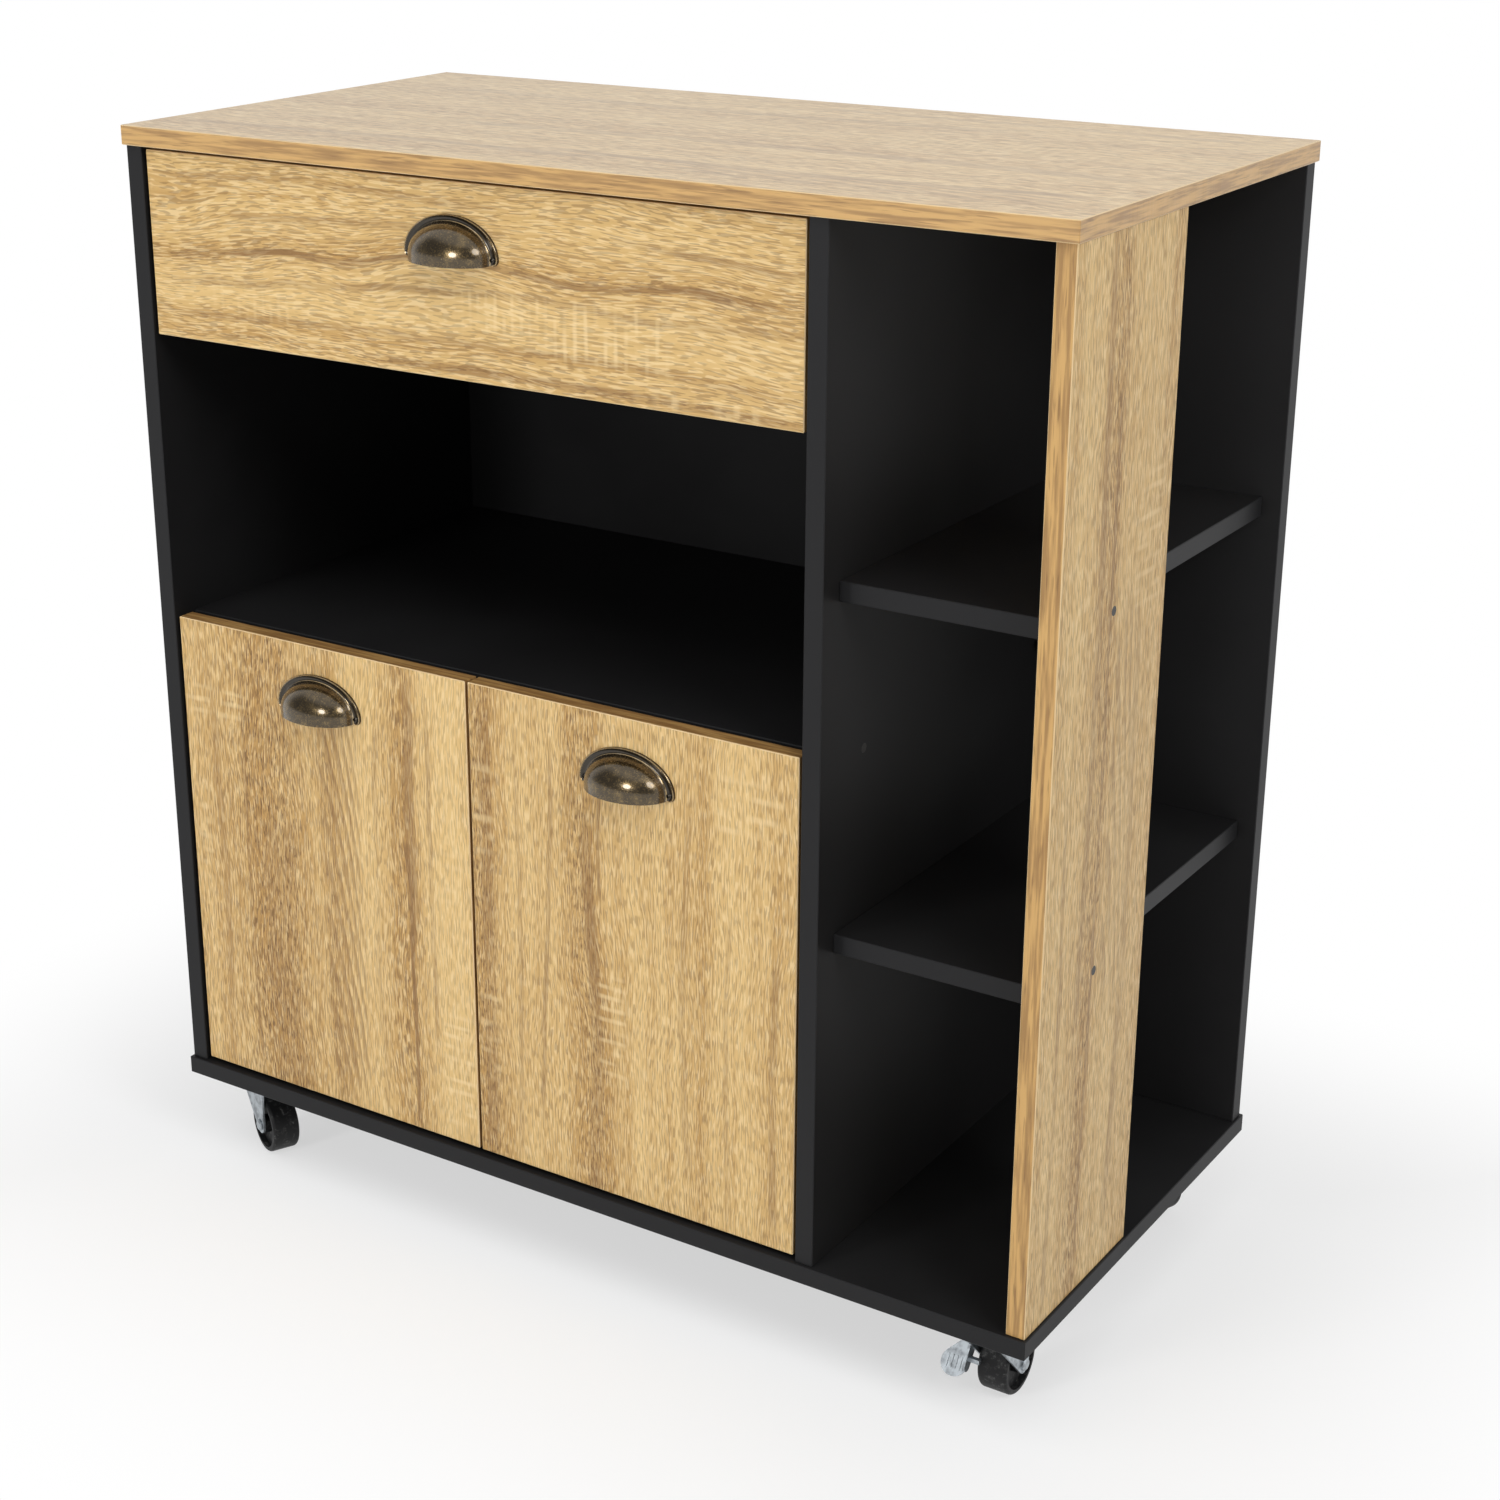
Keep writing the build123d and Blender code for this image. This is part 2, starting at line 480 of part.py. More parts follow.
# Doors and their hinges
def hinge(face, inward, z):
    """One concealed hinge: (door pieces, upright pieces), with the holes that they need."""
    def at(depth, back):
        return (face + inward * depth, FACE_FRONT + back, z)

    pin_x = SIDE_GAP + HINGE_PIN_INSET
    cup_x = SIDE_GAP + CUP_EDGE + CUP_RADIUS
    bore = Plane(origin=at(cup_x, BOARD), x_dir=(0, 0, 1), z_dir=(0, -1, 0))
    shell = bore * Cylinder(CUP_RADIUS - FIT, CUP_DEPTH, align=LOW)
    cavity = bore * Cylinder(CUP_RADIUS - CUP_WALL, CUP_DEPTH - CUP_WALL, align=LOW)
    knuckle_half = ARM_WIDTH / 2 + RUNNING_GAP
    ear_span = 2 * ARM_KNUCKLE + CUP_EAR_THICKNESS
    ear_x = sorted(face + inward * (pin_x + side * ear_span / 2) for side in (-1, 1))
    ear_y = (FACE_BACK - CUP_DEPTH, FACE_FRONT + HINGE_PIN_DEPTH + ear_span / 2)
    cup = shell - cavity
    for side in (-1, 1):
        ear_z = sorted(z + side * (knuckle_half + reach) for reach in (0, CUP_EAR_THICKNESS))
        cup += block(ear_x, ear_y, ear_z) & shell
    spots = [Pos(side * CUP_SCREW_SPREAD / 2, -inward * CUP_SCREW_OFFSET) for side in (-1, 1)]
    ear_outline = [(spot * Circle(2 * CUP_SCREW.head_radius)).edges() for spot in spots]
    rim_outline = Circle(CUP_RADIUS + CUP_WALL).edges()
    flange = make_hull(rim_outline + ear_outline[0] + ear_outline[1])
    cup += extrude(bore * flange, -CUP_FLANGE) - bore * Cylinder(CUP_RADIUS - CUP_WALL, 3 * CUP_FLANGE)
    seats = [(bore * spot * Pos(0, 0, -CUP_FLANGE)).position for spot in spots]
    cup_screws = [pan_screw(CUP_SCREW, seat, (0, -1, 0)) for seat in seats]
    cup_holes = Compound([screw_hole(CUP_SCREW, seat, (0, -1, 0)) for seat in seats])
    pin_half = knuckle_half + CUP_EAR_THICKNESS
    pin_foot = Vector(*at(pin_x, HINGE_PIN_DEPTH)) - Vector(0, 0, pin_half)
    pin = rod(pin_foot, (0, 0, 1), 2 * pin_half, HINGE_PIN)
    pin_hole = rod(pin_foot, (0, 0, 1), 2 * pin_half, HINGE_PIN + FIT)
    cup -= cup_holes + pin_hole
    door_cut = bore * Cylinder(CUP_RADIUS, CUP_DEPTH, align=LOW) + cup_holes

    low = Vector(0, 0, ARM_WIDTH / 2)
    turn = BOARD + ARM_TURN
    path = [(pin_x, HINGE_PIN_DEPTH), (ARM_NECK, HINGE_PIN_DEPTH), (ARM_NECK, turn),
            (ARM_STANDOFF, turn + ARM_NECK - ARM_STANDOFF), (ARM_STANDOFF, ARM_LENGTH)]
    bends = FilletPolyline(*(Vector(*at(t, back)) - low for t, back in path), radius=ARM_BEND)
    strip = trace(bends, ARM_THICKNESS)
    arm = extrude(strip, amount=ARM_WIDTH, dir=(0, 0, 1))
    arm += rod(Vector(*at(pin_x, HINGE_PIN_DEPTH)) - low, (0, 0, 1), ARM_WIDTH, ARM_KNUCKLE)
    arm -= pin_hole
    arm_seat = ARM_STANDOFF + ARM_THICKNESS / 2
    boss_depth = ARM_STANDOFF - ARM_THICKNESS / 2
    boss_y = (HINGE_PLATE_SETBACK - HINGE_BOSS_WIDTH / 2, ARM_LENGTH - HINGE_BOSS_WIDTH / 2)
    foot = Plane(origin=at(0, HINGE_PLATE_SETBACK), x_dir=(0, 0, 1), z_dir=(inward, 0, 0))
    wing = SlotCenterToCenter(HINGE_PLATE_SPREAD, 4 * PLATE_SCREW.head_radius)
    plate = extrude(foot * wing, HINGE_PLATE_SHEET)
    plate += block(sorted((face, face + inward * boss_depth)),
                   [FACE_FRONT + back for back in boss_y],
                   (z - HINGE_BOSS_WIDTH / 2, z + HINGE_BOSS_WIDTH / 2))
    into = (-inward, 0, 0)
    plate_seats = [(foot * Pos(side * HINGE_PLATE_SPREAD / 2, 0, HINGE_PLATE_SHEET)).position
                   for side in (-1, 1)]
    plate_screws = [pan_screw(PLATE_SCREW, seat, into) for seat in plate_seats]
    plate_holes = Compound([screw_hole(PLATE_SCREW, seat, into) for seat in plate_seats])
    lock_seat = at(arm_seat, (boss_y[0] + boss_y[1] + HINGE_BOSS_WIDTH) / 2)
    plate_screws.append(pan_screw(ARM_SCREW, lock_seat, into))
    lock_hole = screw_hole(ARM_SCREW, lock_seat, into)
    upright_pieces = {"hinge_arms": arm - lock_hole, "hinge_plates": plate - plate_holes - lock_hole,
                      "hinge_screws": plate_screws}
    door_pieces = {"hinge_cups": cup, "hinge_pins": pin, "cup_screws": cup_screws}
    return door_pieces, upright_pieces, door_cut, plate_holes


def doors(nodes):
    for group in ("hinge_arms", "hinge_plates", "hinge_screws"):
        nodes[group] = []
    for side, face, inward, upright in (("left", LEFT_IN, 1, "left_side_panel"),
                                        ("right", DIVIDER_LEFT, -1, "divider_panel")):
        span = sorted(face + inward * edge for edge in (SIDE_GAP, SIDE_GAP + DOOR_WIDTH))
        door = board(span, (FACE_FRONT, FACE_BACK), (DOOR_BOTTOM, NICHE_TOP))
        handle, screws, holes = pull(sum(span) / 2, NICHE_TOP)
        door -= holes
        nodes[f"{side}_door_handle"] = handle
        nodes[f"{side}_handle_screws"] = screws
        for group in ("hinge_cups", "hinge_pins", "cup_screws"):
            nodes[f"{side}_{group}"] = []
        for z in HINGE_HEIGHTS:
            door_pieces, upright_pieces, door_cut, upright_cut = hinge(face, inward, z)
            door -= door_cut
            nodes[upright] -= upright_cut
            for group, piece in door_pieces.items():
                nodes[f"{side}_{group}"] += piece if isinstance(piece, list) else [piece]
            for group, piece in upright_pieces.items():
                nodes[group] += piece if isinstance(piece, list) else [piece]
        nodes[f"{side}_door"] = door


# Casters, drawn about a swivel axis at the origin with the wheel trailing along +X
def across(x, z, half, radius):
    """A round bar along Y, centred on the wheel's plane."""
    return rod((x, -half, z), (0, 1, 0), 2 * half, radius)


def wheel():
    half = WHEEL_WIDTH / 2
    rim = WHEEL_RADIUS - WHEEL_RIM
    hub_half = LEG_INSIDE - RUNNING_GAP
    web = half - WHEEL_RECESS
    tyre = RectangleRounded(2 * WHEEL_RADIUS, WHEEL_WIDTH, WHEEL_SHOULDER)
    section = Rectangle(2 * WHEEL_RADIUS, 2 * hub_half) & tyre
    for side in (-1, 1):
        recess = Rectangle(rim - HUB_RADIUS, WHEEL_RECESS)
        section -= Pos((rim + HUB_RADIUS) / 2, side * (web + WHEEL_RECESS / 2)) * recess
    section += Rectangle(HUB_RADIUS, 2 * hub_half, align=(Align.MIN, Align.CENTER))
    bore = AXLE_RADIUS + FIT
    section &= Pos(bore, 0) * Rectangle(WHEEL_RADIUS, 2 * hub_half, align=(Align.MIN, Align.CENTER))
    return Pos(TRAIL, 0, WHEEL_RADIUS) * revolve(section, Axis.Y, 360)


def axle():
    bar = across(TRAIL, WHEEL_RADIUS, LEG_OUTSIDE + AXLE_HEAD, AXLE_RADIUS)
    for side in (-1, 1):
        start = (TRAIL, side * LEG_OUTSIDE, WHEEL_RADIUS)
        head = rod(start, (0, side, 0), AXLE_HEAD, AXLE_HEAD_RADIUS)
        bar += chamfer(far_rim(head, start), AXLE_HEAD / 2)
    return bar


def fork(braked):
    """A folded yoke: a bent strip seen from the front, trimmed to its outline seen from the side."""
    foot = WHEEL_RADIUS - FORK_FOOT_RADIUS
    length = FORK_LEAD + FORK_TAIL
    folded = Rectangle(2 * LEG_OUTSIDE, FORK_CROWN - foot, align=(Align.CENTER, Align.MAX))
    folded = fillet(folded.vertices().group_by(Axis.Y)[-1], FORK_BEND)
    hollow = Pos(0, -FORK_SHEET) * Rectangle(2 * LEG_INSIDE, FORK_CROWN, align=(Align.CENTER, Align.MAX))
    hollow = fillet(hollow.vertices().group_by(Axis.Y)[-1], FORK_BEND - FORK_SHEET)
    reach = length + TRAIL + FORK_FOOT_RADIUS
    strip = extrude(Plane.YZ * Pos(0, FORK_CROWN) * (folded - hollow), reach, both=True)
    crown = Pos((FORK_TAIL - FORK_LEAD) / 2, FORK_CROWN - FORK_BEND / 2) * Rectangle(length, FORK_BEND)
    end = Pos(TRAIL, WHEEL_RADIUS) * Circle(FORK_FOOT_RADIUS)
    outline = make_hull(crown.edges() + end.edges())
    yoke = strip & extrude(Plane.XZ * outline, LEG_OUTSIDE, both=True)
    yoke += race()
    yoke -= across(TRAIL, WHEEL_RADIUS, 2 * LEG_OUTSIDE, AXLE_RADIUS + FIT)
    yoke -= rod((0, 0, 0), (0, 0, 1), CASTER_HEIGHT, KINGPIN_RADIUS + FIT)
    if braked:
        yoke -= rod((-BRAKE_PIN_LEAD, 0, BRAKE_PIN_HEIGHT), (0, 1, 0), 2 * LEG_OUTSIDE, BRAKE_PIN + FIT)
    return yoke


def race():
    """The dished bearing seat on the crown, under the plate's cover."""
    under = FORK_CROWN - FORK_SHEET
    top = CASTER_HEIGHT - CASTER_PLATE - RACE_COVER_WALL - RUNNING_GAP
    rim = (FORK_CROWN + top) / 2
    points = [(0, 0, under), (RACE_TOP_RADIUS, 0, under), (RACE_RADIUS, 0, FORK_CROWN),
              (RACE_RADIUS, 0, rim), (RACE_TOP_RADIUS, 0, top), (0, 0, top)]
    return revolve(make_face(Polyline(*points, close=True)), Axis.Z, 360)


def caster_plate():
    top = CASTER_HEIGHT
    under = top - CASTER_PLATE
    outline = RectangleRounded(CASTER_PLATE_LENGTH, CASTER_PLATE_DEPTH, CASTER_PLATE_CORNER)
    plate = Pos(0, 0, under) * extrude(outline, CASTER_PLATE)
    cover_radius = RACE_RADIUS + RUNNING_GAP + RACE_COVER_WALL
    roof = under - RACE_COVER_WALL
    skirt = roof - RACE_COVER_SKIRT
    cover = rod((0, 0, skirt), (0, 0, 1), RACE_COVER_SKIRT + RACE_COVER_WALL, cover_radius)
    cover -= rod((0, 0, skirt), (0, 0, 1), RACE_COVER_SKIRT, cover_radius - RACE_COVER_WALL)
    return plate + cover - rod((0, 0, 0), (0, 0, 1), top, KINGPIN_RADIUS + FIT)


def kingpin():
    crown_under = FORK_CROWN - FORK_SHEET - RUNNING_GAP
    foot = crown_under - KINGPIN_HEAD
    head = rod((0, 0, foot), (0, 0, 1), KINGPIN_HEAD, KINGPIN_HEAD_RADIUS)
    head = chamfer(head.edges().sort_by(Axis.Z)[0], KINGPIN_HEAD / 2)
    return head + rod((0, 0, foot), (0, 0, 1), CASTER_HEIGHT - foot, KINGPIN_RADIUS)


def brake_lever():
    """Arm, pedal, toe and rivet of the foot brake, on the leg at +Y."""
    inner = LEG_OUTSIDE + RUNNING_GAP
    pin_at = (-BRAKE_PIN_LEAD, BRAKE_PIN_HEIGHT)
    end_at = (-BRAKE_REACH_LEAD, BRAKE_REACH_HEIGHT)
    outline = make_hull((Pos(*pin_at) * Circle(BRAKE_PIN_BOSS)).edges()
                        + (Pos(*end_at) * Circle(BRAKE_ARM_END)).edges())
    lever = Pos(0, inner, 0) * extrude(Plane.XZ * outline, -BRAKE_SHEET)
    rise = (Vector(*pin_at) - Vector(*end_at)).normalized()
    tread = Plane((end_at[0], inner, end_at[1]), x_dir=(0, 1, 0), z_dir=(-rise.Y, 0, rise.X))
    neck = Pos(PEDAL_NECK_RADIUS, -PEDAL_NECK_LENGTH) * Circle(PEDAL_NECK_RADIUS)
    pedal = make_hull((Pos(PEDAL_REACH, 0) * Circle(PEDAL_RADIUS)).edges() + neck.edges())
    lever += extrude(tread * pedal, -BRAKE_SHEET)
    rib = SlotOverall(PEDAL_RADIUS, PEDAL_RIB_WIDTH, rotation=90)
    for step in range(PEDAL_RIBS):
        place = PEDAL_REACH + (step - (PEDAL_RIBS - 1) / 2) * PEDAL_RIB_PITCH
        lever += extrude(tread * Pos(place, 0) * rib, PEDAL_RIB)
    toe = BRAKE_TOE / 2
    lever += block((-BRAKE_TOE_LEAD - toe, -BRAKE_TOE_LEAD + toe),
                   (LEG_INSIDE - BRAKE_TOE_LENGTH, inner + BRAKE_SHEET),
                   (BRAKE_TOE_HEIGHT - toe, BRAKE_TOE_HEIGHT + toe))
    rivet_in = LEG_INSIDE - RUNNING_GAP
    rivet = rod((pin_at[0], rivet_in, pin_at[1]), (0, 1, 0), inner + BRAKE_SHEET - rivet_in, BRAKE_PIN)
    head = rod((pin_at[0], rivet_in - BRAKE_RIVET, pin_at[1]), (0, 1, 0), BRAKE_RIVET, BRAKE_RIVET_RADIUS)
    return lever + rivet + head


def casters(nodes):
    for group in ("caster_plates", "caster_kingpins", "caster_screws"):
        nodes[group] = []
    under = CASTER_HEIGHT - CASTER_PLATE
    for caster in CASTERS:
        spot = Pos(caster.x, caster.y, 0)
        turned = spot * Rot(0, 0, caster.turn)
        seats = [(caster.x + along * CASTER_HOLE_LENGTH / 2, caster.y + back * CASTER_HOLE_DEPTH / 2, under)
                 for along in (-1, 1) for back in (-1, 1)]
        holes = Compound([screw_hole(CASTER_SCREW, seat, (0, 0, 1)) for seat in seats])
        nodes["caster_plates"].append(spot * caster_plate() - holes)
        nodes["caster_kingpins"].append(spot * kingpin())
        nodes["caster_screws"] += [pan_screw(CASTER_SCREW, seat, (0, 0, 1)) for seat in seats]
        nodes["base_panel"] -= holes
        nodes[f"{caster.name}_fork"] = turned * fork(caster.braked)
        nodes[f"{caster.name}_axle"] = turned * axle()
        nodes[f"{caster.name}_wheel"] = turned * wheel()
        if caster.braked:
            nodes[f"{caster.name}_brake_lever"] = turned * brake_lever()


def main():
    nodes = carcass()
    fasten_carcass(nodes)
    drawer(nodes)
    runners(nodes)
    doors(nodes)
    casters(nodes)
    os.makedirs("parts", exist_ok=True)
    for name, shape in nodes.items():
        solids = shape if isinstance(shape, list) else [shape]
        export_step(Compound(solids) if len(solids) > 1 else solids[0], f"parts/{name}.step")
    print(len(nodes), "nodes")


main()
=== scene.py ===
from collections import namedtuple
from math import cos, pi, radians, sin, sqrt

import bmesh
import bpy
from bpy.props import FloatProperty, FloatVectorProperty, PointerProperty
from mathutils import Matrix, Vector


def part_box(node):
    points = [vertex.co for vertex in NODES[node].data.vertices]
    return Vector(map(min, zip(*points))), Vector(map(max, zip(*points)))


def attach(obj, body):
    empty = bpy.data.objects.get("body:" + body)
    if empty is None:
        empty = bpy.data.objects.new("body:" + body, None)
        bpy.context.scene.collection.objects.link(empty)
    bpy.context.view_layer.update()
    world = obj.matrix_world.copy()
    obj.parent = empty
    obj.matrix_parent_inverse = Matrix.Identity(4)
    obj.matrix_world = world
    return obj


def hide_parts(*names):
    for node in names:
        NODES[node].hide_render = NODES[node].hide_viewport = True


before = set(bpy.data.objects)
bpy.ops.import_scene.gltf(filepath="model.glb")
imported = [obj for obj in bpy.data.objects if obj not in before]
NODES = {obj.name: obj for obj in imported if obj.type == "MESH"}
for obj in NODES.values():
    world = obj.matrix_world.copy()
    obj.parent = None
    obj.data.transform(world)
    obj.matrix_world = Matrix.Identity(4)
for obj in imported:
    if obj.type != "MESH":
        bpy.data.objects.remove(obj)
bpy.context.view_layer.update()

bl_info = {
    "name": "Buffet cabinet",
    "version": (1, 0, 0),
    "blender": (4, 5, 0),
    "location": "View3D > Sidebar > Cabinet",
    "description": "Board finishes, cup pulls, casters and stage of a rolling buffet cabinet",
    "category": "Object",
}

MM = 0.001
X, Y, Z = 0, 1, 2


# Settings
def colour(label, words, value):
    return FloatVectorProperty(name=label, description=words, subtype="COLOR", size=3, min=0, max=1, default=value)


def length(label, words, value):
    return FloatProperty(name=label, description=words, unit="LENGTH", subtype="DISTANCE", default=value)


def share(label, words, value):
    return FloatProperty(name=label, description=words, subtype="FACTOR", min=0, max=1, default=value)


class OakSettings(bpy.types.PropertyGroup):
    """Printed oak on the top, the fronts and the end panel."""
    pale: colour("Pale wood", "Lightest stretches of the print", (0.720, 0.495, 0.205))
    warm: colour("Warm wood", "Middle tone of the print", (0.480, 0.275, 0.080))
    streak: colour("Streak", "Brown streaks along the grain", (0.215, 0.105, 0.032))
    pore: colour("Pore", "Short dark pores", (0.170, 0.082, 0.024))
    # Also the colour of the painted highlights: pale glints along the grain.
    saw_mark: colour("Saw mark", "Pale marks across the grain", (0.850, 0.660, 0.360))
    edge: colour("Edge band", "Band on the edges of the boards", (0.60, 0.36, 0.125))
    # Also the colour that the painted shade on the edges of the doors and the drawer front darkens towards.
    edge_streak_and_shade: colour("Edge streak", "Streaks in the edge band", (0.27, 0.14, 0.045))
    arris: colour("Arris", "Eased corner between face and band", (0.74, 0.55, 0.30))
    roughness: share("Roughness", "Gloss of the printed face", 0.42)


class BlackSettings(bpy.types.PropertyGroup):
    """Black boards of the carcass and the drawer box."""
    face: colour("Black face", "Printed black of the faces", (0.0125, 0.0122, 0.0126))
    edge: colour("Black edge", "Black of the edge bands", (0.018, 0.018, 0.019))
    bloom: colour("Bloom", "Faint grey bloom on the faces", (0.019, 0.019, 0.0195))
    roughness: share("Roughness", "Gloss of the black faces", 0.46)


class MetalSettings(bpy.types.PropertyGroup):
    """Pulls, casters, hinges, runners and screws."""
    patina: colour("Patina", "Dark brown of the pulls", (0.075, 0.054, 0.028))
    bronze: colour("Bronze", "Golden metal under the patina", (0.34, 0.235, 0.100))
    recess: colour("Recess", "Blackened hollows of the pulls", (0.030, 0.022, 0.012))
    rubbed: colour("Rubbed", "Bright rubbed ridges of the pulls", (0.62, 0.56, 0.46))
    zinc: colour("Zinc", "Plating of the casters", (0.50, 0.54, 0.57))
    zinc_dull: colour("Dull zinc", "Dull patches of the plating", (0.27, 0.29, 0.31))
    nickel: colour("Nickel", "Plating of the hinges", (0.64, 0.62, 0.58))
    screw: colour("Screw", "Dark plated screws", (0.22, 0.21, 0.20))
    blackened: colour("Blackened", "Blackened heads of the joint screws", (0.05, 0.048, 0.045))
    enamel: colour("Enamel", "Coating of the runners", (0.80, 0.79, 0.74))


class WheelSettings(bpy.types.PropertyGroup):
    """Moulded wheels and rollers."""
    black: colour("Wheel", "Black of the moulded wheels", (0.009, 0.009, 0.0095))
    worn: colour("Worn tread", "Grey of the rubbed tread", (0.085, 0.084, 0.082))
    nylon: colour("Nylon", "Rollers of the runners", (0.80, 0.79, 0.75))


class StageSettings(bpy.types.PropertyGroup):
    """Camera, floor and light of the surroundings."""
    azimuth: FloatProperty(name="Azimuth", description="Camera round the cabinet", subtype="ANGLE",
                           default=radians(33.74))
    elevation: FloatProperty(name="Elevation", description="Camera above level", subtype="ANGLE",
                             default=radians(20.43))
    roll: FloatProperty(name="Roll", description="Camera about its axis", subtype="ANGLE", default=radians(-0.26))
    distance: length("Distance", "Camera to target", 2.066)
    target: FloatVectorProperty(name="Target", description="Point that the camera looks at", subtype="XYZ",
                                unit="LENGTH", size=3, default=(0.009, -0.053, 0.431))
    lens: FloatProperty(name="Lens", description="Focal length on a 36 mm frame", default=63.62)
    shift: FloatVectorProperty(name="Shift", description="Lens shift in frame widths", size=2,
                               default=(0.053, -0.015))
    floor: colour("Floor", "Pale studio floor", (0.93, 0.93, 0.93))
    front: FloatProperty(name="Front", description="Front of the studio, as metal mirrors it", default=0.22)
    ambient: FloatProperty(name="Ambient", description="Light of the surroundings", default=0.38)


# Shader sheets
class Tone:
    """A socket that works as a number: each operation adds a Math node."""

    def __init__(self, sheet, socket):
        self.sheet = sheet
        self.socket = socket

    def math(self, operation, *values):
        return self.sheet.node("ShaderNodeMath", {"operation": operation}, dict(enumerate(values)))

    def __add__(self, other):
        return self.math("ADD", self, other)

    def __sub__(self, other):
        return self.math("SUBTRACT", self, other)

    def __rsub__(self, other):
        return self.math("SUBTRACT", other, self)

    def __mul__(self, other):
        return self.math("MULTIPLY", self, other)

    def __truediv__(self, other):
        return self.math("DIVIDE", self, other)

    def __abs__(self):
        return self.math("ABSOLUTE", self)

    __radd__ = __add__
    __rmul__ = __mul__

    def fraction(self):
        return self.math("FRACT", self)

    def whole(self):
        return self.math("FLOOR", self)

    def larger(self, other):
        return self.math("MAXIMUM", self, other)

    def power(self, exponent):
        return self.math("POWER", self.larger(0.0), exponent)

    def at_least(self, low):
        """Lifts a mask so that it runs from low to 1."""
        return low + (1.0 - low) * self

    def course(self, points):
        """A smooth curve through (place, value) points, flat beyond its ends."""
        places, values = zip(*points)
        start, span = places[0], places[-1] - places[0]
        low, reach = min(values), max(max(values) - min(values), MM)
        stops = [((place - start) / span, (value - low) / reach) for place, value in points]
        ramp = self.sheet.node("ShaderNodeValToRGB", {"stops": stops}, {0: (self - start) / span})
        return ramp * reach + low

    def rise(self, low, high):
        """0 below low, 1 above high, smooth between; low may be the greater one."""
        sockets = {0: self, 1: low, 2: high, 3: 0.0, 4: 1.0}
        return self.sheet.node("ShaderNodeMapRange", {"interpolation_type": "SMOOTHSTEP"}, sockets)

    def within(self, middle, half, soft):
        """1 inside middle plus or minus half, fading over soft outside."""
        return abs(self - middle).rise(half + soft, half)


class Sheet:
    """The node tree of a material or of the world."""

    def __init__(self, owner):
        owner.use_nodes = True
        self.owner = owner
        self.tree = owner.node_tree
        self.tree.nodes.clear()

    def node(self, kind, settings=None, sockets=None, out=0):
        """Adds a node: its settings first, then the values or links of its sockets."""
        made = self.tree.nodes.new(kind)
        for key, value in (settings or {}).items():
            if key == "stops":
                self.stops(made.color_ramp, value)
            else:
                setattr(made, key, value)
        for key, value in (sockets or {}).items():
            if isinstance(value, Tone):
                self.tree.links.new(value.socket, made.inputs[key])
            else:
                made.inputs[key].default_value = value
        return Tone(self, made.outputs[out]) if made.outputs else None

    def stops(self, ramp, points):
        """Sets the grey stops of a ramp, smooth between them."""
        ramp.interpolation = "CARDINAL"
        while len(ramp.elements) < len(points):
            ramp.elements.new(1.0)
        for element, (place, value) in zip(ramp.elements, points):
            element.position = place
            element.color = (value, value, value, 1.0)

    def point(self):
        """The point on the surface, in the cabinet's frame at rest."""
        return self.node("ShaderNodeTexCoord", out="Object")

    def normal(self):
        """The three parts of the surface's direction, in the same frame as the point."""
        return self.split(self.node("ShaderNodeTexCoord", out="Normal"))

    def split(self, vector):
        parts = self.node("ShaderNodeSeparateXYZ", sockets={0: vector})
        return [Tone(self, output) for output in parts.socket.node.outputs]

    def join(self, x, y, z):
        return self.node("ShaderNodeCombineXYZ", sockets={0: x, 1: y, 2: z})

    def noise(self, vector, scale=1.0, detail=2.0, roughness=0.5):
        sockets = {"Vector": vector, "Scale": scale, "Detail": detail, "Roughness": roughness}
        return self.node("ShaderNodeTexNoise", sockets=sockets)

    def mix(self, factor, first, second):
        ends = [value if isinstance(value, Tone) else (*value, 1.0) for value in (first, second)]
        return self.node("ShaderNodeMix", {"data_type": "RGBA"}, {0: factor, 6: ends[0], 7: ends[1]}, 2)

    def bump(self, height, strength, distance):
        return self.node("ShaderNodeBump", sockets={"Height": height, "Strength": strength, "Distance": distance})

    def finish(self, **sockets):
        """Closes the tree with a Principled shader; names use _ for spaces."""
        values = {name.replace("_", " "): value for name, value in sockets.items()}
        shader = self.node("ShaderNodeBsdfPrincipled", sockets=values)
        self.node("ShaderNodeOutputMaterial", sockets={"Surface": shader})
        return self.owner


Mottle = namedtuple("Mottle", "scale detail roughness")


def finish_sheet(name):
    return Sheet(bpy.data.materials.new(name))


def dress(material, *nodes):
    """Gives CAD nodes a finish."""
    for node in nodes:
        slots = NODES[node].data.materials
        slots.clear()
        slots.append(material)


# Oak boards
Streak = namedtuple("Streak", "path width sway depth")
Flame = namedtuple("Flame", "across width low high pitch sweep depth")
SawMarks = namedtuple("SawMarks", "along across length width pitch strength")
# The share after face is a painted shade that darkens the board's edge band.
OakBoard = namedtuple("OakBoard", "node grain face edge_shade coat offset bands streaks flames saw_marks")

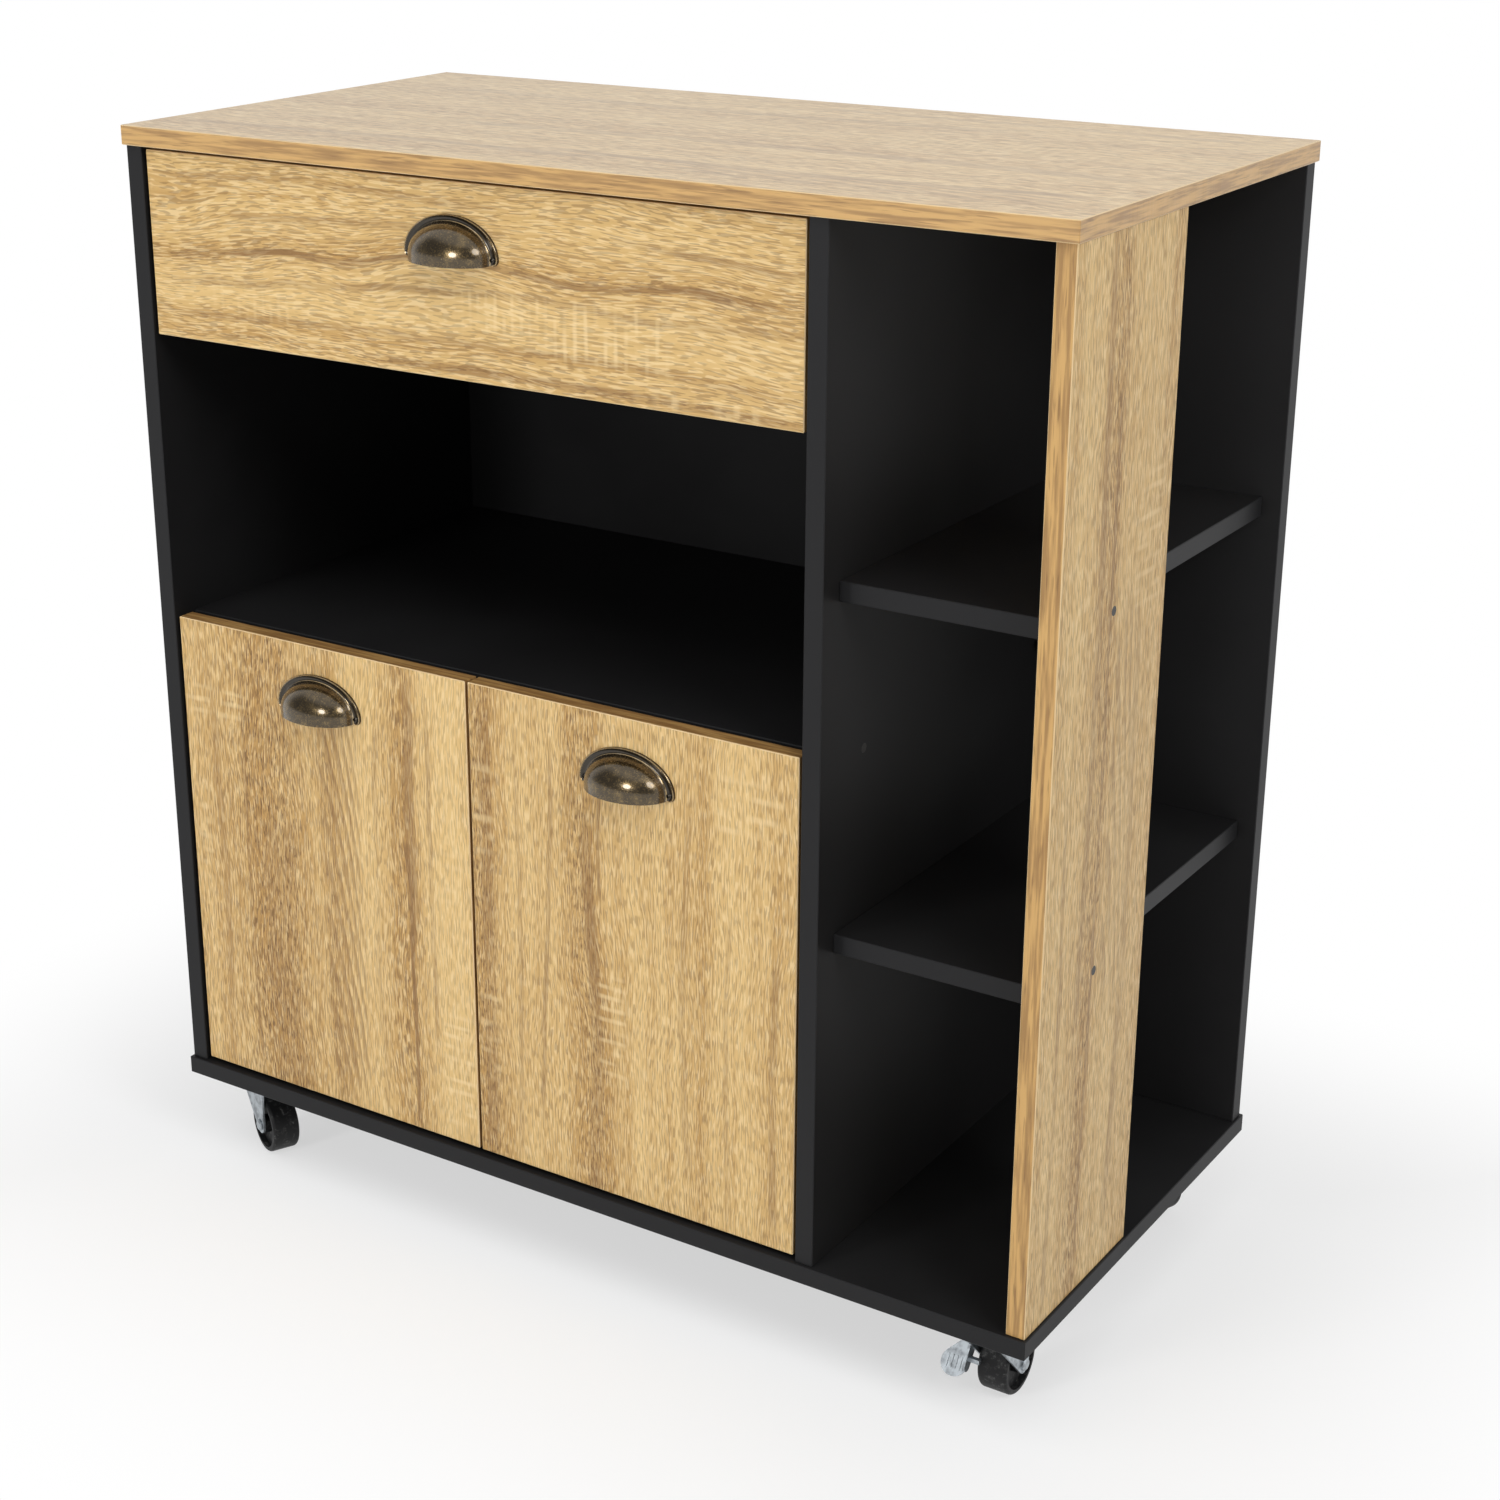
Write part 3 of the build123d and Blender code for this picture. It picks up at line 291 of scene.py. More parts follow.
# Places along and across the grain are in metres, in the cabinet's frame.
OAK_BOARDS = (
    OakBoard("top_panel", X, Z, 0.0, 0.5, (0.31, 0.07), (
        (-0.190, 0.40), (-0.150, 0.55), (-0.120, 0.35), (-0.080, 0.50), (-0.040, 0.30), (0.000, 0.52),
        (0.050, 0.34), (0.100, 0.50), (0.150, 0.30), (0.210, 0.42),
    ), (
        Streak(((-0.36, 0.125), (-0.10, 0.116), (0.20, 0.128)), 0.010, 0.006, 0.40),
        Streak(((-0.20, -0.040), (0.06, -0.026), (0.39, -0.036)), 0.012, 0.008, 0.50),
        Streak(((-0.05, -0.118), (0.16, -0.126), (0.38, -0.112)), 0.008, 0.006, 0.55),
        Streak(((0.00, 0.172), (0.38, 0.166)), 0.007, 0.005, 0.40),
        Streak(((-0.38, -0.140), (-0.16, -0.132), (0.02, -0.138)), 0.008, 0.005, 0.45),
    ), (
        Flame(-0.165, 0.050, 0.06, 0.36, 0.060, 4.2, 0.40),
    ), (
        SawMarks(0.22, 0.045, 0.13, 0.060, 0.011, 0.55),
        SawMarks(-0.22, -0.10, 0.09, 0.040, 0.009, 0.40),
    )),
    OakBoard("drawer_front", X, Y, 0.3, 0.0, (1.43, 0.32), (
        (0.7205, 0.30), (0.7235, 0.25), (0.7280, 0.60), (0.7330, 0.45), (0.7420, 0.50), (0.7520, 0.32),
        (0.7650, 0.18), (0.7750, 0.32), (0.7850, 0.42), (0.7970, 0.58), (0.8080, 0.48), (0.8180, 0.26),
        (0.8300, 0.42), (0.8450, 0.46), (0.8625, 0.40),
    ), (
        Streak(((-0.379, 0.784), (-0.26, 0.796), (-0.178, 0.796), (-0.109, 0.808), (0.029, 0.799), (0.115, 0.806),
                (0.196, 0.799)), 0.0034, 0.0022, 0.80),
        Streak(((0.090, 0.8065), (0.118, 0.805), (0.150, 0.8015)), 0.0036, 0.0008, 1.00),
        Streak(((-0.37, 0.765), (-0.20, 0.776), (-0.05, 0.786), (0.10, 0.781), (0.205, 0.785)), 0.004, 0.003, 0.46),
        Streak(((-0.16, 0.7275), (-0.02, 0.7285), (0.115, 0.7270), (0.205, 0.7245)), 0.0042, 0.001, 0.62),
        Streak(((-0.37, 0.741), (-0.20, 0.746), (0.05, 0.748), (0.20, 0.741)), 0.0036, 0.003, 0.38),
        Streak(((0.05, 0.834), (0.12, 0.829), (0.205, 0.823)), 0.0035, 0.003, 0.55),
        Streak(((-0.37, 0.846), (-0.22, 0.850), (-0.04, 0.845)), 0.004, 0.003, 0.36),
        Streak(((-0.30, 0.819), (-0.16, 0.826), (-0.04, 0.829)), 0.004, 0.003, 0.40),
    ), (), (
        SawMarks(0.045, 0.767, 0.075, 0.034, 0.0086, 1.0),
        SawMarks(-0.045, 0.773, 0.060, 0.022, 0.0074, 0.7),
        SawMarks(0.120, 0.727, 0.080, 0.010, 0.0165, 0.7),
        SawMarks(-0.280, 0.755, 0.060, 0.020, 0.0080, 0.4),
    )),
    OakBoard("left_door", Z, Y, 0.8, 0.0, (2.77, 0.64), (
        (-0.380, 0.42), (-0.365, 0.45), (-0.339, 0.52), (-0.318, 0.62), (-0.300, 0.80), (-0.270, 0.64),
        (-0.242, 0.50), (-0.235, 0.60), (-0.215, 0.46), (-0.198, 0.16), (-0.175, 0.40), (-0.152, 0.62),
        (-0.138, 0.46), (-0.122, 0.16), (-0.100, 0.10), (-0.089, 0.24),
    ), (
        Streak(((0.09, -0.286), (0.20, -0.290), (0.34, -0.284)), 0.022, 0.006, 0.36),
        Streak(((0.095, -0.1496), (0.20, -0.1492), (0.275, -0.1505)), 0.0026, 0.0008, 1.00),
        Streak(((0.250, -0.1495), (0.30, -0.1480), (0.345, -0.1520)), 0.0042, 0.001, 0.90),
        Streak(((0.27, -0.1460), (0.36, -0.1480), (0.48, -0.1450)), 0.0066, 0.003, 0.62),
        Streak(((0.17, -0.128), (0.30, -0.1285), (0.46, -0.127)), 0.0030, 0.002, 0.50),
        Streak(((0.10, -0.3185), (0.28, -0.3200), (0.47, -0.3175)), 0.0022, 0.001, 0.50),
        Streak(((0.10, -0.352), (0.28, -0.347), (0.47, -0.352)), 0.0050, 0.004, 0.32),
        Streak(((0.10, -0.182), (0.26, -0.186), (0.44, -0.180)), 0.0040, 0.004, 0.30),
    ), (
        Flame(-0.241, 0.044, 0.10, 0.44, 0.042, 5.0, 0.60),
    ), (
        SawMarks(0.155, -0.106, 0.075, 0.024, 0.0096, 1.0),
        SawMarks(0.420, -0.346, 0.022, 0.050, 0.0105, 0.9),
        SawMarks(0.300, -0.366, 0.060, 0.012, 0.0130, 0.6),
        SawMarks(0.330, -0.108, 0.050, 0.014, 0.0100, 0.4),
    )),
    OakBoard("right_door", Z, Y, 0.8, 0.0, (4.19, 1.15), (
        (-0.086, 0.72), (-0.068, 0.60), (-0.048, 0.34), (-0.020, 0.36), (-0.003, 0.46), (0.018, 0.66),
        (0.034, 0.58), (0.056, 0.28), (0.090, 0.44), (0.115, 0.38), (0.128, 0.54), (0.150, 0.20),
        (0.180, 0.34), (0.190, 0.46), (0.205, 0.30),
    ), (
        Streak(((0.07, 0.024), (0.20, 0.029), (0.30, 0.025), (0.40, 0.020)), 0.0075, 0.003, 0.55),
        Streak(((0.34, 0.0330), (0.39, 0.0320), (0.43, 0.0345)), 0.0020, 0.001, 0.80),
        Streak(((0.106, 0.187), (0.22, 0.1855), (0.328, 0.188)), 0.0045, 0.002, 0.62),
        Streak(((0.09, -0.0740), (0.28, -0.0725), (0.48, -0.0735)), 0.0085, 0.003, 0.50),
        Streak(((0.14, -0.024), (0.25, -0.019), (0.36, -0.013), (0.46, -0.010)), 0.0028, 0.002, 0.55),
        Streak(((0.12, 0.112), (0.26, 0.106), (0.44, 0.113)), 0.0040, 0.004, 0.36),
        Streak(((0.10, 0.148), (0.24, 0.145), (0.36, 0.149)), 0.0030, 0.002, 0.40),
        Streak(((0.10, -0.046), (0.30, -0.042), (0.47, -0.044)), 0.0030, 0.003, 0.36),
    ), (), (
        SawMarks(0.385, -0.076, 0.065, 0.016, 0.0140, 1.0),
        SawMarks(0.235, 0.043, 0.070, 0.020, 0.0092, 1.0),
        SawMarks(0.440, 0.165, 0.034, 0.046, 0.0135, 0.9),
        SawMarks(0.200, -0.074, 0.060, 0.016, 0.0120, 0.7),
    )),
    OakBoard("end_panel", Z, X, 0.0, 0.0, (5.83, 1.71), (
        (-0.187, 0.46), (-0.165, 0.30), (-0.140, 0.46), (-0.112, 0.66), (-0.100, 0.40), (-0.070, 0.30),
        (-0.044, 0.44), (-0.020, 0.52),
    ), (
        Streak(((0.107, -0.112), (0.40, -0.108), (0.75, -0.110)), 0.0026, 0.002, 0.75),
        Streak(((0.30, -0.130), (0.60, -0.126), (0.86, -0.131)), 0.0060, 0.004, 0.45),
        Streak(((0.12, -0.062), (0.36, -0.057), (0.60, -0.063)), 0.0070, 0.004, 0.40),
        Streak(((0.09, -0.162), (0.30, -0.158), (0.50, -0.163)), 0.0040, 0.003, 0.45),
    ), (
        Flame(-0.098, 0.040, 0.30, 0.62, 0.070, 4.4, 0.45),
    ), (
        SawMarks(0.645, -0.052, 0.080, 0.032, 0.0100, 0.8),
        SawMarks(0.480, -0.080, 0.050, 0.016, 0.0080, 0.4),
        SawMarks(0.200, -0.150, 0.060, 0.016, 0.0110, 0.4),
    )),
)

Grain = namedtuple("Grain", "along across aside detail roughness")
RINGS = Grain(1.8, 70.0, 0.0, 2.0, 0.5)
FIBRE = Grain(5.0, 150.0, 0.0, 4.0, 0.72)
DASHES = Grain(95.0, 880.0, 0.0, 0.0, 0.5)
GLINTS = Grain(80.0, 820.0, 0.37, 0.0, 0.5)
SPECKS = Grain(190.0, 760.0, 0.71, 0.0, 0.5)

Wander = namedtuple("Wander", "along across detail reach")
LANE_WANDERS = (Wander(3.0, 8.0, 1.0, 26 * MM), Wander(16.0, 22.0, 0.0, 7 * MM))
BEND_CORE, BEND_FADE = 10 * MM, 45 * MM

SWAY_PITCH, SWAY_STEP = 24.0, 3.7
SWELL_PITCH, SWELL_STEP, SWELL_SEED = 11.0, 5.3, 4.0
SWELL_EDGE, SWELL_LEAST = (0.25, 0.70), 0.45
STREAK_CORE, STREAK_BODY, STREAK_TAIL = 0.45, 0.42, 0.12

FLAME_WANDER = Wander(14.0, 30.0, 2.0, 0.9)
FLAME_CURVE = 1.6
FLAME_SIDES, FLAME_BODY, FLAME_TAIL = (0.34, 0.18), 0.40, 50 * MM
FLAME_ONSET, FLAME_END = (0.15, 0.85), (1.0, 0.92)

SAW_WANDER = Wander(60.0, 18.0, 2.0, 0.5)
SAW_STROKE = (0.05, 0.26)
SAW_STEP, SAW_RAG, SAW_RAG_EDGE = 2.3, 45.0, (0.32, 0.66)
SAW_BODY, SAW_TAIL, SAW_HALF = 0.5, 0.3, 0.4

RING_DEPTH, FIBRE_DEPTH, SHADE_EDGE = 0.7, 1.3, (-0.05, 0.95)
PORE_EDGE, PORE_LEAST, PORE_DEPTH = (0.52, 0.62), 0.40, 0.64
SPECK_EDGE, SPECK_DEPTH, DENSE_EDGE = (0.52, 0.60), 0.6, (0.46, 0.72)
GLINT_DEPTH = 0.50
STREAK_EDGE, STREAK_LEAST = (0.35, 0.60), 0.62
SAW_DEPTH = 0.48

BAND_GRAIN, BAND_FINENESS = 20.0, 360.0
# Edge band: streak threshold and depth, then the weight of its painted shade.
BAND_EDGE, BAND_DEPTH, BAND_PAINTED_SHADE = (0.38, 0.66), 0.75, 0.6
BAND_PORES, BAND_PORE_EDGE, BAND_PORE_DEPTH = 2.2, (0.60, 0.74), 0.5
ARRIS_TURN, EDGE_TURN = (0.95, 0.90), (0.40, 0.30)


def overlay(masks):
    """The strongest of several masks at each point."""
    total = masks[0]
    for mask in masks[1:]:
        total = total.larger(mask)
    return total


def waver(sheet, along, across, seed, wander):
    """Slow noise over the plane of a board."""
    at = sheet.join(along * wander.along, across * wander.across, seed)
    return sheet.noise(at, detail=wander.detail) * wander.reach


def oak_lanes(sheet, board, place):
    """Coordinates along and across the grain, and lanes that follow the main streak and wander as fibres do."""
    across_axis = ({X, Y, Z} - {board.grain, board.face}).pop()
    along, across = place[board.grain], place[across_axis]
    course = board.streaks[0].path
    middle = sum(value for _, value in course) / len(course)
    lane = across - (along.course(course) - middle) * across.within(middle, BEND_CORE, BEND_FADE)
    for wander in LANE_WANDERS:
        lane = lane + waver(sheet, along + board.offset[0], across, board.offset[1], wander) - wander.reach / 2
    return along, across, lane


def grain_noise(sheet, along, lane, board, grain):
    """Noise drawn out along the grain."""
    vector = sheet.join((along + board.offset[0]) * grain.along,
                        (lane + (grain.aside + board.offset[1])) * grain.across, board.offset[1] * grain.across)
    return sheet.noise(vector, detail=grain.detail, roughness=grain.roughness)


def streak_mask(sheet, along, across, board):
    """The board's own brown streaks, wavering along the grain."""
    masks = []
    for number, streak in enumerate(board.streaks):
        start, end = streak.path[0][0], streak.path[-1][0]
        span = end - start
        sway_at = sheet.join(along * SWAY_PITCH, board.offset[0] + number * SWAY_STEP, 0.0)
        sway = (sheet.noise(sway_at) - 0.5) * (2 * streak.sway)
        swell_at = sheet.join(along * SWELL_PITCH, board.offset[1] + number * SWELL_STEP, SWELL_SEED)
        swell = sheet.noise(swell_at).rise(*SWELL_EDGE).at_least(SWELL_LEAST)
        reach = along.within((start + end) / 2, STREAK_BODY * span, STREAK_TAIL * span)
        aside = abs(across + sway - along.course(streak.path))
        masks.append(aside.rise(streak.width, STREAK_CORE * streak.width) * reach * swell * streak.depth)
    return overlay(masks)


def flame_mask(sheet, along, across, board):
    """Sweeping lines where the saw cut through the growth rings at a slant."""
    masks = []
    for flame in board.flames:
        inward = (across - flame.across) / flame.width
        shaken = waver(sheet, along, across, board.offset[0], FLAME_WANDER)
        line = (along / flame.pitch + flame.sweep * inward.power(FLAME_CURVE) + shaken).fraction()
        reach = along.within((flame.low + flame.high) / 2, FLAME_BODY * (flame.high - flame.low), FLAME_TAIL)
        zone = inward.within(0.5, *FLAME_SIDES) * reach
        masks.append(line.rise(*FLAME_ONSET) * line.rise(*FLAME_END) * zone * flame.depth)
    return overlay(masks)


def saw_mask(sheet, along, across, board):
    """Pale lines across the grain, in patches, each with its own ragged length."""
    masks = []
    for number, marks in enumerate(board.saw_marks):
        count = along / marks.pitch + waver(sheet, along, across, number + board.offset[0], SAW_WANDER)
        stroke = count.fraction().within(0.5, *SAW_STROKE)
        at = sheet.join(count.whole() * SAW_STEP, across * SAW_RAG, number + board.offset[1])
        ragged = sheet.noise(at, detail=1.0).rise(*SAW_RAG_EDGE)
        patch = (along.within(marks.along, SAW_BODY * marks.length, SAW_TAIL * marks.length)
                 * across.within(marks.across, SAW_HALF * marks.width, SAW_HALF * marks.width))
        masks.append(patch * stroke * ragged * marks.strength)
    return overlay(masks)


def edge_band(sheet, place, board, look):
    """A streaky band, drawn out along the board's edges, darkened by a painted shade on the doors and the drawer
    front.
    """
    fine = [BAND_FINENESS if axis == board.face else BAND_GRAIN for axis in (X, Y, Z)]
    streaks = sheet.noise(sheet.join(*(place[axis] * fine[axis] for axis in (X, Y, Z))), detail=3.0)
    pores = sheet.noise(sheet.join(*(place[axis] * (fine[axis] * BAND_PORES) for axis in (X, Y, Z))), detail=1.0)
    # Painted shade: each board's share darkens its edge band towards the streak colour.
    tone = streaks.rise(*BAND_EDGE) * BAND_DEPTH + board.edge_shade * BAND_PAINTED_SHADE
    band = sheet.mix(tone, look.edge, look.edge_streak_and_shade)
    return sheet.mix(pores.rise(*BAND_PORE_EDGE) * BAND_PORE_DEPTH, band, look.pore)


def oak(board, look):
    """Printed oak on the faces of a board, and a streaky band on its edges."""
    sheet = finish_sheet(f"oak {board.node}")
    place = sheet.split(sheet.point())
    along, across, lane = oak_lanes(sheet, board, place)
    rings, fibre, dashes, glints, specks = [grain_noise(sheet, along, lane, board, grain)
                                            for grain in (RINGS, FIBRE, DASHES, GLINTS, SPECKS)]

    bands = lane.course(board.bands)
    shade = bands + (rings - 0.5) * RING_DEPTH + (fibre - 0.5) * FIBRE_DEPTH
    wood = sheet.mix(shade.rise(*SHADE_EDGE), look.pale, look.warm)
    # Painted highlights: pale glints along the grain, in the saw marks' colour.
    wood = sheet.mix(glints.rise(*PORE_EDGE) * GLINT_DEPTH, wood, look.saw_mark)
    dense = specks.rise(*SPECK_EDGE) * bands.rise(*DENSE_EDGE) * SPECK_DEPTH
    pits = dashes.rise(*PORE_EDGE) * bands.at_least(PORE_LEAST) + dense
    wood = sheet.mix(pits * PORE_DEPTH, wood, look.pore)
    streaks = streak_mask(sheet, along, across, board)
    if board.flames:
        streaks = streaks.larger(flame_mask(sheet, along, across, board))
    wood = sheet.mix(streaks * fibre.rise(*STREAK_EDGE).at_least(STREAK_LEAST), wood, look.streak)
    marks = saw_mask(sheet, along, across, board)
    wood = sheet.mix(marks * SAW_DEPTH, wood, look.saw_mark)
    turned = abs(sheet.normal()[board.face])
    wood = sheet.mix(turned.rise(*ARRIS_TURN), wood, look.arris)
    wood = sheet.mix(turned.rise(*EDGE_TURN), wood, edge_band(sheet, place, board, look))

    gloss = look.roughness + 0.10 * pits + (fibre - 0.5) * 0.10
    height = fibre * 0.35 - pits + marks * 0.25
    return sheet.finish(Base_Color=wood, Roughness=gloss, Normal=sheet.bump(height, 0.22, 0.12 * MM),
                        Specular_IOR_Level=0.5, Coat_Weight=board.coat, Coat_Roughness=0.30)


class CABINET_OT_oak_boards(bpy.types.Operator):
    """Print the oak on the top, drawer front, doors and end panel"""
    bl_idname = "cabinet.oak_boards"
    bl_label = "Oak boards"

    def execute(self, context):
        for board in OAK_BOARDS:
            dress(oak(board, context.scene.cabinet_oak), board.node)
        return {"FINISHED"}


# Black boards
BLACK_BOARDS = {
    "base_panel": Z, "left_side_panel": X, "divider_panel": X, "rear_panel": Y, "niche_shelf": Z,
    "upper_side_shelf": Z, "lower_side_shelf": Z, "drawer_left_side": X, "drawer_right_side": X,
    "drawer_back": Y, "back_board": Y, "drawer_bottom": Z,
}


BLACK_BLOOM = Mottle(6.0, 3.0, 0.5)
BLACK_PEBBLE = Mottle(1400.0, 1.0, 0.5)
BLACK_SPECKS = Mottle(420.0, 0.0, 0.5)
BLOOM_EDGE, BLOOM_DEPTH = (0.40, 0.75), 0.6
BLACK_SPECK_EDGE, BLACK_SPECK_DEPTH = (0.80, 0.84), 0.20
BLACK_EDGE_TURN = (0.95, 0.85)


def black_board(name, face, look):
    """Black melamine: a faint pebble on the faces, and greyer bands on the edges."""
    sheet = finish_sheet(f"black {name}")
    bloom, pebble, specks = [sheet.noise(sheet.point(), *mottle)
                             for mottle in (BLACK_BLOOM, BLACK_PEBBLE, BLACK_SPECKS)]
    turned = abs(sheet.normal()[face])
    surface = sheet.mix(bloom.rise(*BLOOM_EDGE) * BLOOM_DEPTH, look.face, look.bloom)
    surface = sheet.mix(specks.rise(*BLACK_SPECK_EDGE) * BLACK_SPECK_DEPTH, surface, look.edge)
    surface = sheet.mix(turned.rise(*BLACK_EDGE_TURN), surface, look.edge)
    gloss = look.roughness + (bloom - 0.5) * 0.16 + (pebble - 0.5) * 0.06
    return sheet.finish(Base_Color=surface, Roughness=gloss, Normal=sheet.bump(pebble, 0.10, 0.05 * MM),
                        Specular_IOR_Level=0.14)


class CABINET_OT_black_boards(bpy.types.Operator):
    """Finish the black carcass boards and the drawer box"""
    bl_idname = "cabinet.black_boards"
    bl_label = "Black boards"

    def execute(self, context):
        for node, face in BLACK_BOARDS.items():
            dress(black_board(node, face, context.scene.cabinet_black), node)
        return {"FINISHED"}


# Metal finishes and mouldings
BRONZE_CLOUD = Mottle(110.0, 4.0, 0.6)
BRONZE_GRIT = Mottle(800.0, 2.0, 0.5)
CLOUD_EDGE, CLOUD_DEPTH = (0.46, 0.74), 0.35
GRIT_EDGE, GRIT_DEPTH = (0.52, 0.72), 0.40

ZINC_SPANGLE = Mottle(140.0, 3.0, 0.6)
ZINC_SCRATCH = Mottle(1100.0, 2.0, 0.5)
SPANGLE_EDGE = (0.40, 0.70)

PLATE_GRIT = Mottle(700.0, 3.0, 0.5)
COAT_MOTTLE = Mottle(60.0, 3.0, 0.5)
COAT_PEEL = Mottle(900.0, 1.0, 0.5)
SHADE_REACH = (0.35, 0.70)
PLATE_SHADE, COAT_SHADE = 0.72, 0.90

WHEEL_SCUFF = Mottle(160.0, 4.0, 0.65)
WHEEL_GRIT = Mottle(1300.0, 2.0, 0.5)
WHEEL_DUST = Mottle(360.0, 3.0, 0.7)
SCUFF_EDGE, SCUFF_DEPTH = (0.50, 0.78), 0.6
DUST_EDGE, DUST_REACH = (0.54, 0.68), (0.42, 0.60)


def bronze(name, dark, bright, gloss):
    """Antique bronze: dark patina rubbed through to golden metal, under lacquer."""
    sheet = finish_sheet(name)
    cloud, grit = [sheet.noise(sheet.point(), *mottle) for mottle in (BRONZE_CLOUD, BRONZE_GRIT)]
    metal = sheet.mix(cloud.rise(*CLOUD_EDGE) * CLOUD_DEPTH + grit.rise(*GRIT_EDGE) * GRIT_DEPTH, dark, bright)
    return sheet.finish(Base_Color=metal, Metallic=0.9, Roughness=gloss + (grit - 0.5) * 0.16, Coat_Weight=0.8,
                        Coat_Roughness=0.07, Normal=sheet.bump(grit, 0.10, 0.04 * MM))


def zinc(look):
    """Bright zinc plating with duller spangles."""
    sheet = finish_sheet("zinc plate")
    spangle, scratch = [sheet.noise(sheet.point(), *mottle) for mottle in (ZINC_SPANGLE, ZINC_SCRATCH)]
    metal = sheet.mix(spangle.rise(*SPANGLE_EDGE), look.zinc, look.zinc_dull)
    return sheet.finish(Base_Color=metal, Metallic=1.0, Roughness=0.34 + spangle * 0.14 + scratch * 0.08,
                        Normal=sheet.bump(scratch, 0.12, 0.04 * MM))


def plated(name, tint, gloss):
    """Plain plated steel with a fine grit."""
    sheet = finish_sheet(name)
    grit = sheet.noise(sheet.point(), *PLATE_GRIT)
    dark = [PLATE_SHADE * part for part in tint]
    return sheet.finish(Base_Color=sheet.mix(grit.rise(*SHADE_REACH), tint, dark), Metallic=1.0,
                        Roughness=gloss + grit * 0.12, Normal=sheet.bump(grit, 0.08, 0.03 * MM))


def coated(name, tint, gloss):
    """Smooth coating or moulding with a faint mottle."""
    sheet = finish_sheet(name)
    mottle, peel = [sheet.noise(sheet.point(), *kind) for kind in (COAT_MOTTLE, COAT_PEEL)]
    dark = [COAT_SHADE * part for part in tint]
    return sheet.finish(Base_Color=sheet.mix(mottle.rise(*SHADE_REACH), tint, dark),
                        Roughness=gloss + mottle * 0.10, Normal=sheet.bump(peel, 0.08, 0.04 * MM))


def wheel_black(look):
    """Moulded black wheel with a rubbed, dusty tread."""
    sheet = finish_sheet("black wheel")
    scuff, grit, dust = [sheet.noise(sheet.point(), *mottle) for mottle in (WHEEL_SCUFF, WHEEL_GRIT, WHEEL_DUST)]
    worn = scuff.rise(*SCUFF_EDGE) * SCUFF_DEPTH + dust.rise(*DUST_EDGE) * scuff.rise(*DUST_REACH)
    return sheet.finish(Base_Color=sheet.mix(worn, look.black, look.worn), Roughness=0.42 + scuff * 0.22,
                        Specular_IOR_Level=0.25, Normal=sheet.bump(grit, 0.12, 0.05 * MM))


class CABINET_OT_fittings(bpy.types.Operator):
    """Finish the runners, rollers, hinges and screws"""
    bl_idname = "cabinet.fittings"
    bl_label = "Hidden fittings"

    def execute(self, context):
        metal = context.scene.cabinet_metal
        dress(coated("runner enamel", metal.enamel, gloss=0.34), "left_runner", "right_runner", "left_drawer_rail",
              "right_drawer_rail")
        dress(coated("roller nylon", context.scene.cabinet_wheels.nylon, gloss=0.30), "front_rollers", "rear_rollers")
        dress(plated("hinge nickel", metal.nickel, gloss=0.24), "hinge_arms", "hinge_plates", "left_hinge_cups",
              "right_hinge_cups", "left_hinge_pins", "right_hinge_pins")
        dress(plated("screw steel", metal.screw, gloss=0.30), "cam_locks", "cam_bolts", "runner_screws",
              "hinge_screws", "left_cup_screws", "right_cup_screws", "caster_screws")
        dress(plated("blackened steel", metal.blackened, gloss=0.30), "joint_screws")
        return {"FINISHED"}


class CABINET_OT_casters(bpy.types.Operator):
    """Finish the casters"""
    bl_idname = "cabinet.casters"
    bl_label = "Casters"

    def execute(self, context):
        plating = zinc(context.scene.cabinet_metal)
        moulding = wheel_black(context.scene.cabinet_wheels)
        dress(plating, "caster_plates", "caster_kingpins")
        dress(plating, *(node for node in NODES if node.endswith(("_fork", "_axle", "_brake_lever"))))
        dress(moulding, *(node for node in NODES if node.endswith("_wheel")))
        return {"FINISHED"}


# Cup pulls
Pull = namedtuple("Pull", "cup screws body")
RimRing = namedtuple("RimRing", "spread depth lip finish")

PULLS = (
    Pull("drawer_handle", "drawer_handle_screws", "drawer"),
    Pull("left_door_handle", "left_handle_screws", "left_door"),
    Pull("right_door_handle", "right_handle_screws", "right_door"),
)
AGED, RECESSED, RUBBED = 0, 1, 2
EAR = 4.6 * MM
CUP_HALF = 35.0 * MM
CUP_HEIGHT = 24.0 * MM
CUP_WALL = 1.6 * MM
RIM_WIDTH = 7.0 * MM
RIM_HEIGHT = 5.0 * MM
# Spread 1 is the outer line of the rim and 0 the wall of the cup; depth and lip are in mm.
RIM_RINGS = (
    RimRing(1.00, 0.0, 4.6, RECESSED),
    RimRing(1.00, 1.3, 4.6, AGED),
    RimRing(0.96, 2.0, 4.3, RUBBED),
    RimRing(0.90, 2.3, 3.9, RUBBED),
    RimRing(0.83, 2.2, 3.6, AGED),
    RimRing(0.76, 1.8, 3.5, RECESSED),
    RimRing(0.55, 1.5, 3.5, RECESSED),
    RimRing(0.30, 1.4, 3.5, RECESSED),
    RimRing(0.14, 1.7, 3.7, RUBBED),
    RimRing(0.05, 2.4, 4.2, AGED),
)
CUP_RINGS = 16
CUP_START = radians(81.0)
EAR_POINTS = 7
ARC_POINTS = 56
WELD = 0.01 * MM
SHARP = radians(40.0)

SCREW_PLACE = 37.4 * MM
SCREW_HEAD = 2.3 * MM
SCREW_SHANK = 1.5 * MM
SCREW_SEAT = 1.4 * MM
SCREW_DOME = 1.5 * MM
SCREW_DEPTH = 12.0 * MM
CROSS_SLOT = 0.38 * MM
CROSS_REACH = 1.35 * MM
CROSS_DEPTH = 0.9 * MM
HEAD_STEPS = 9
HEAD_POINTS = 40


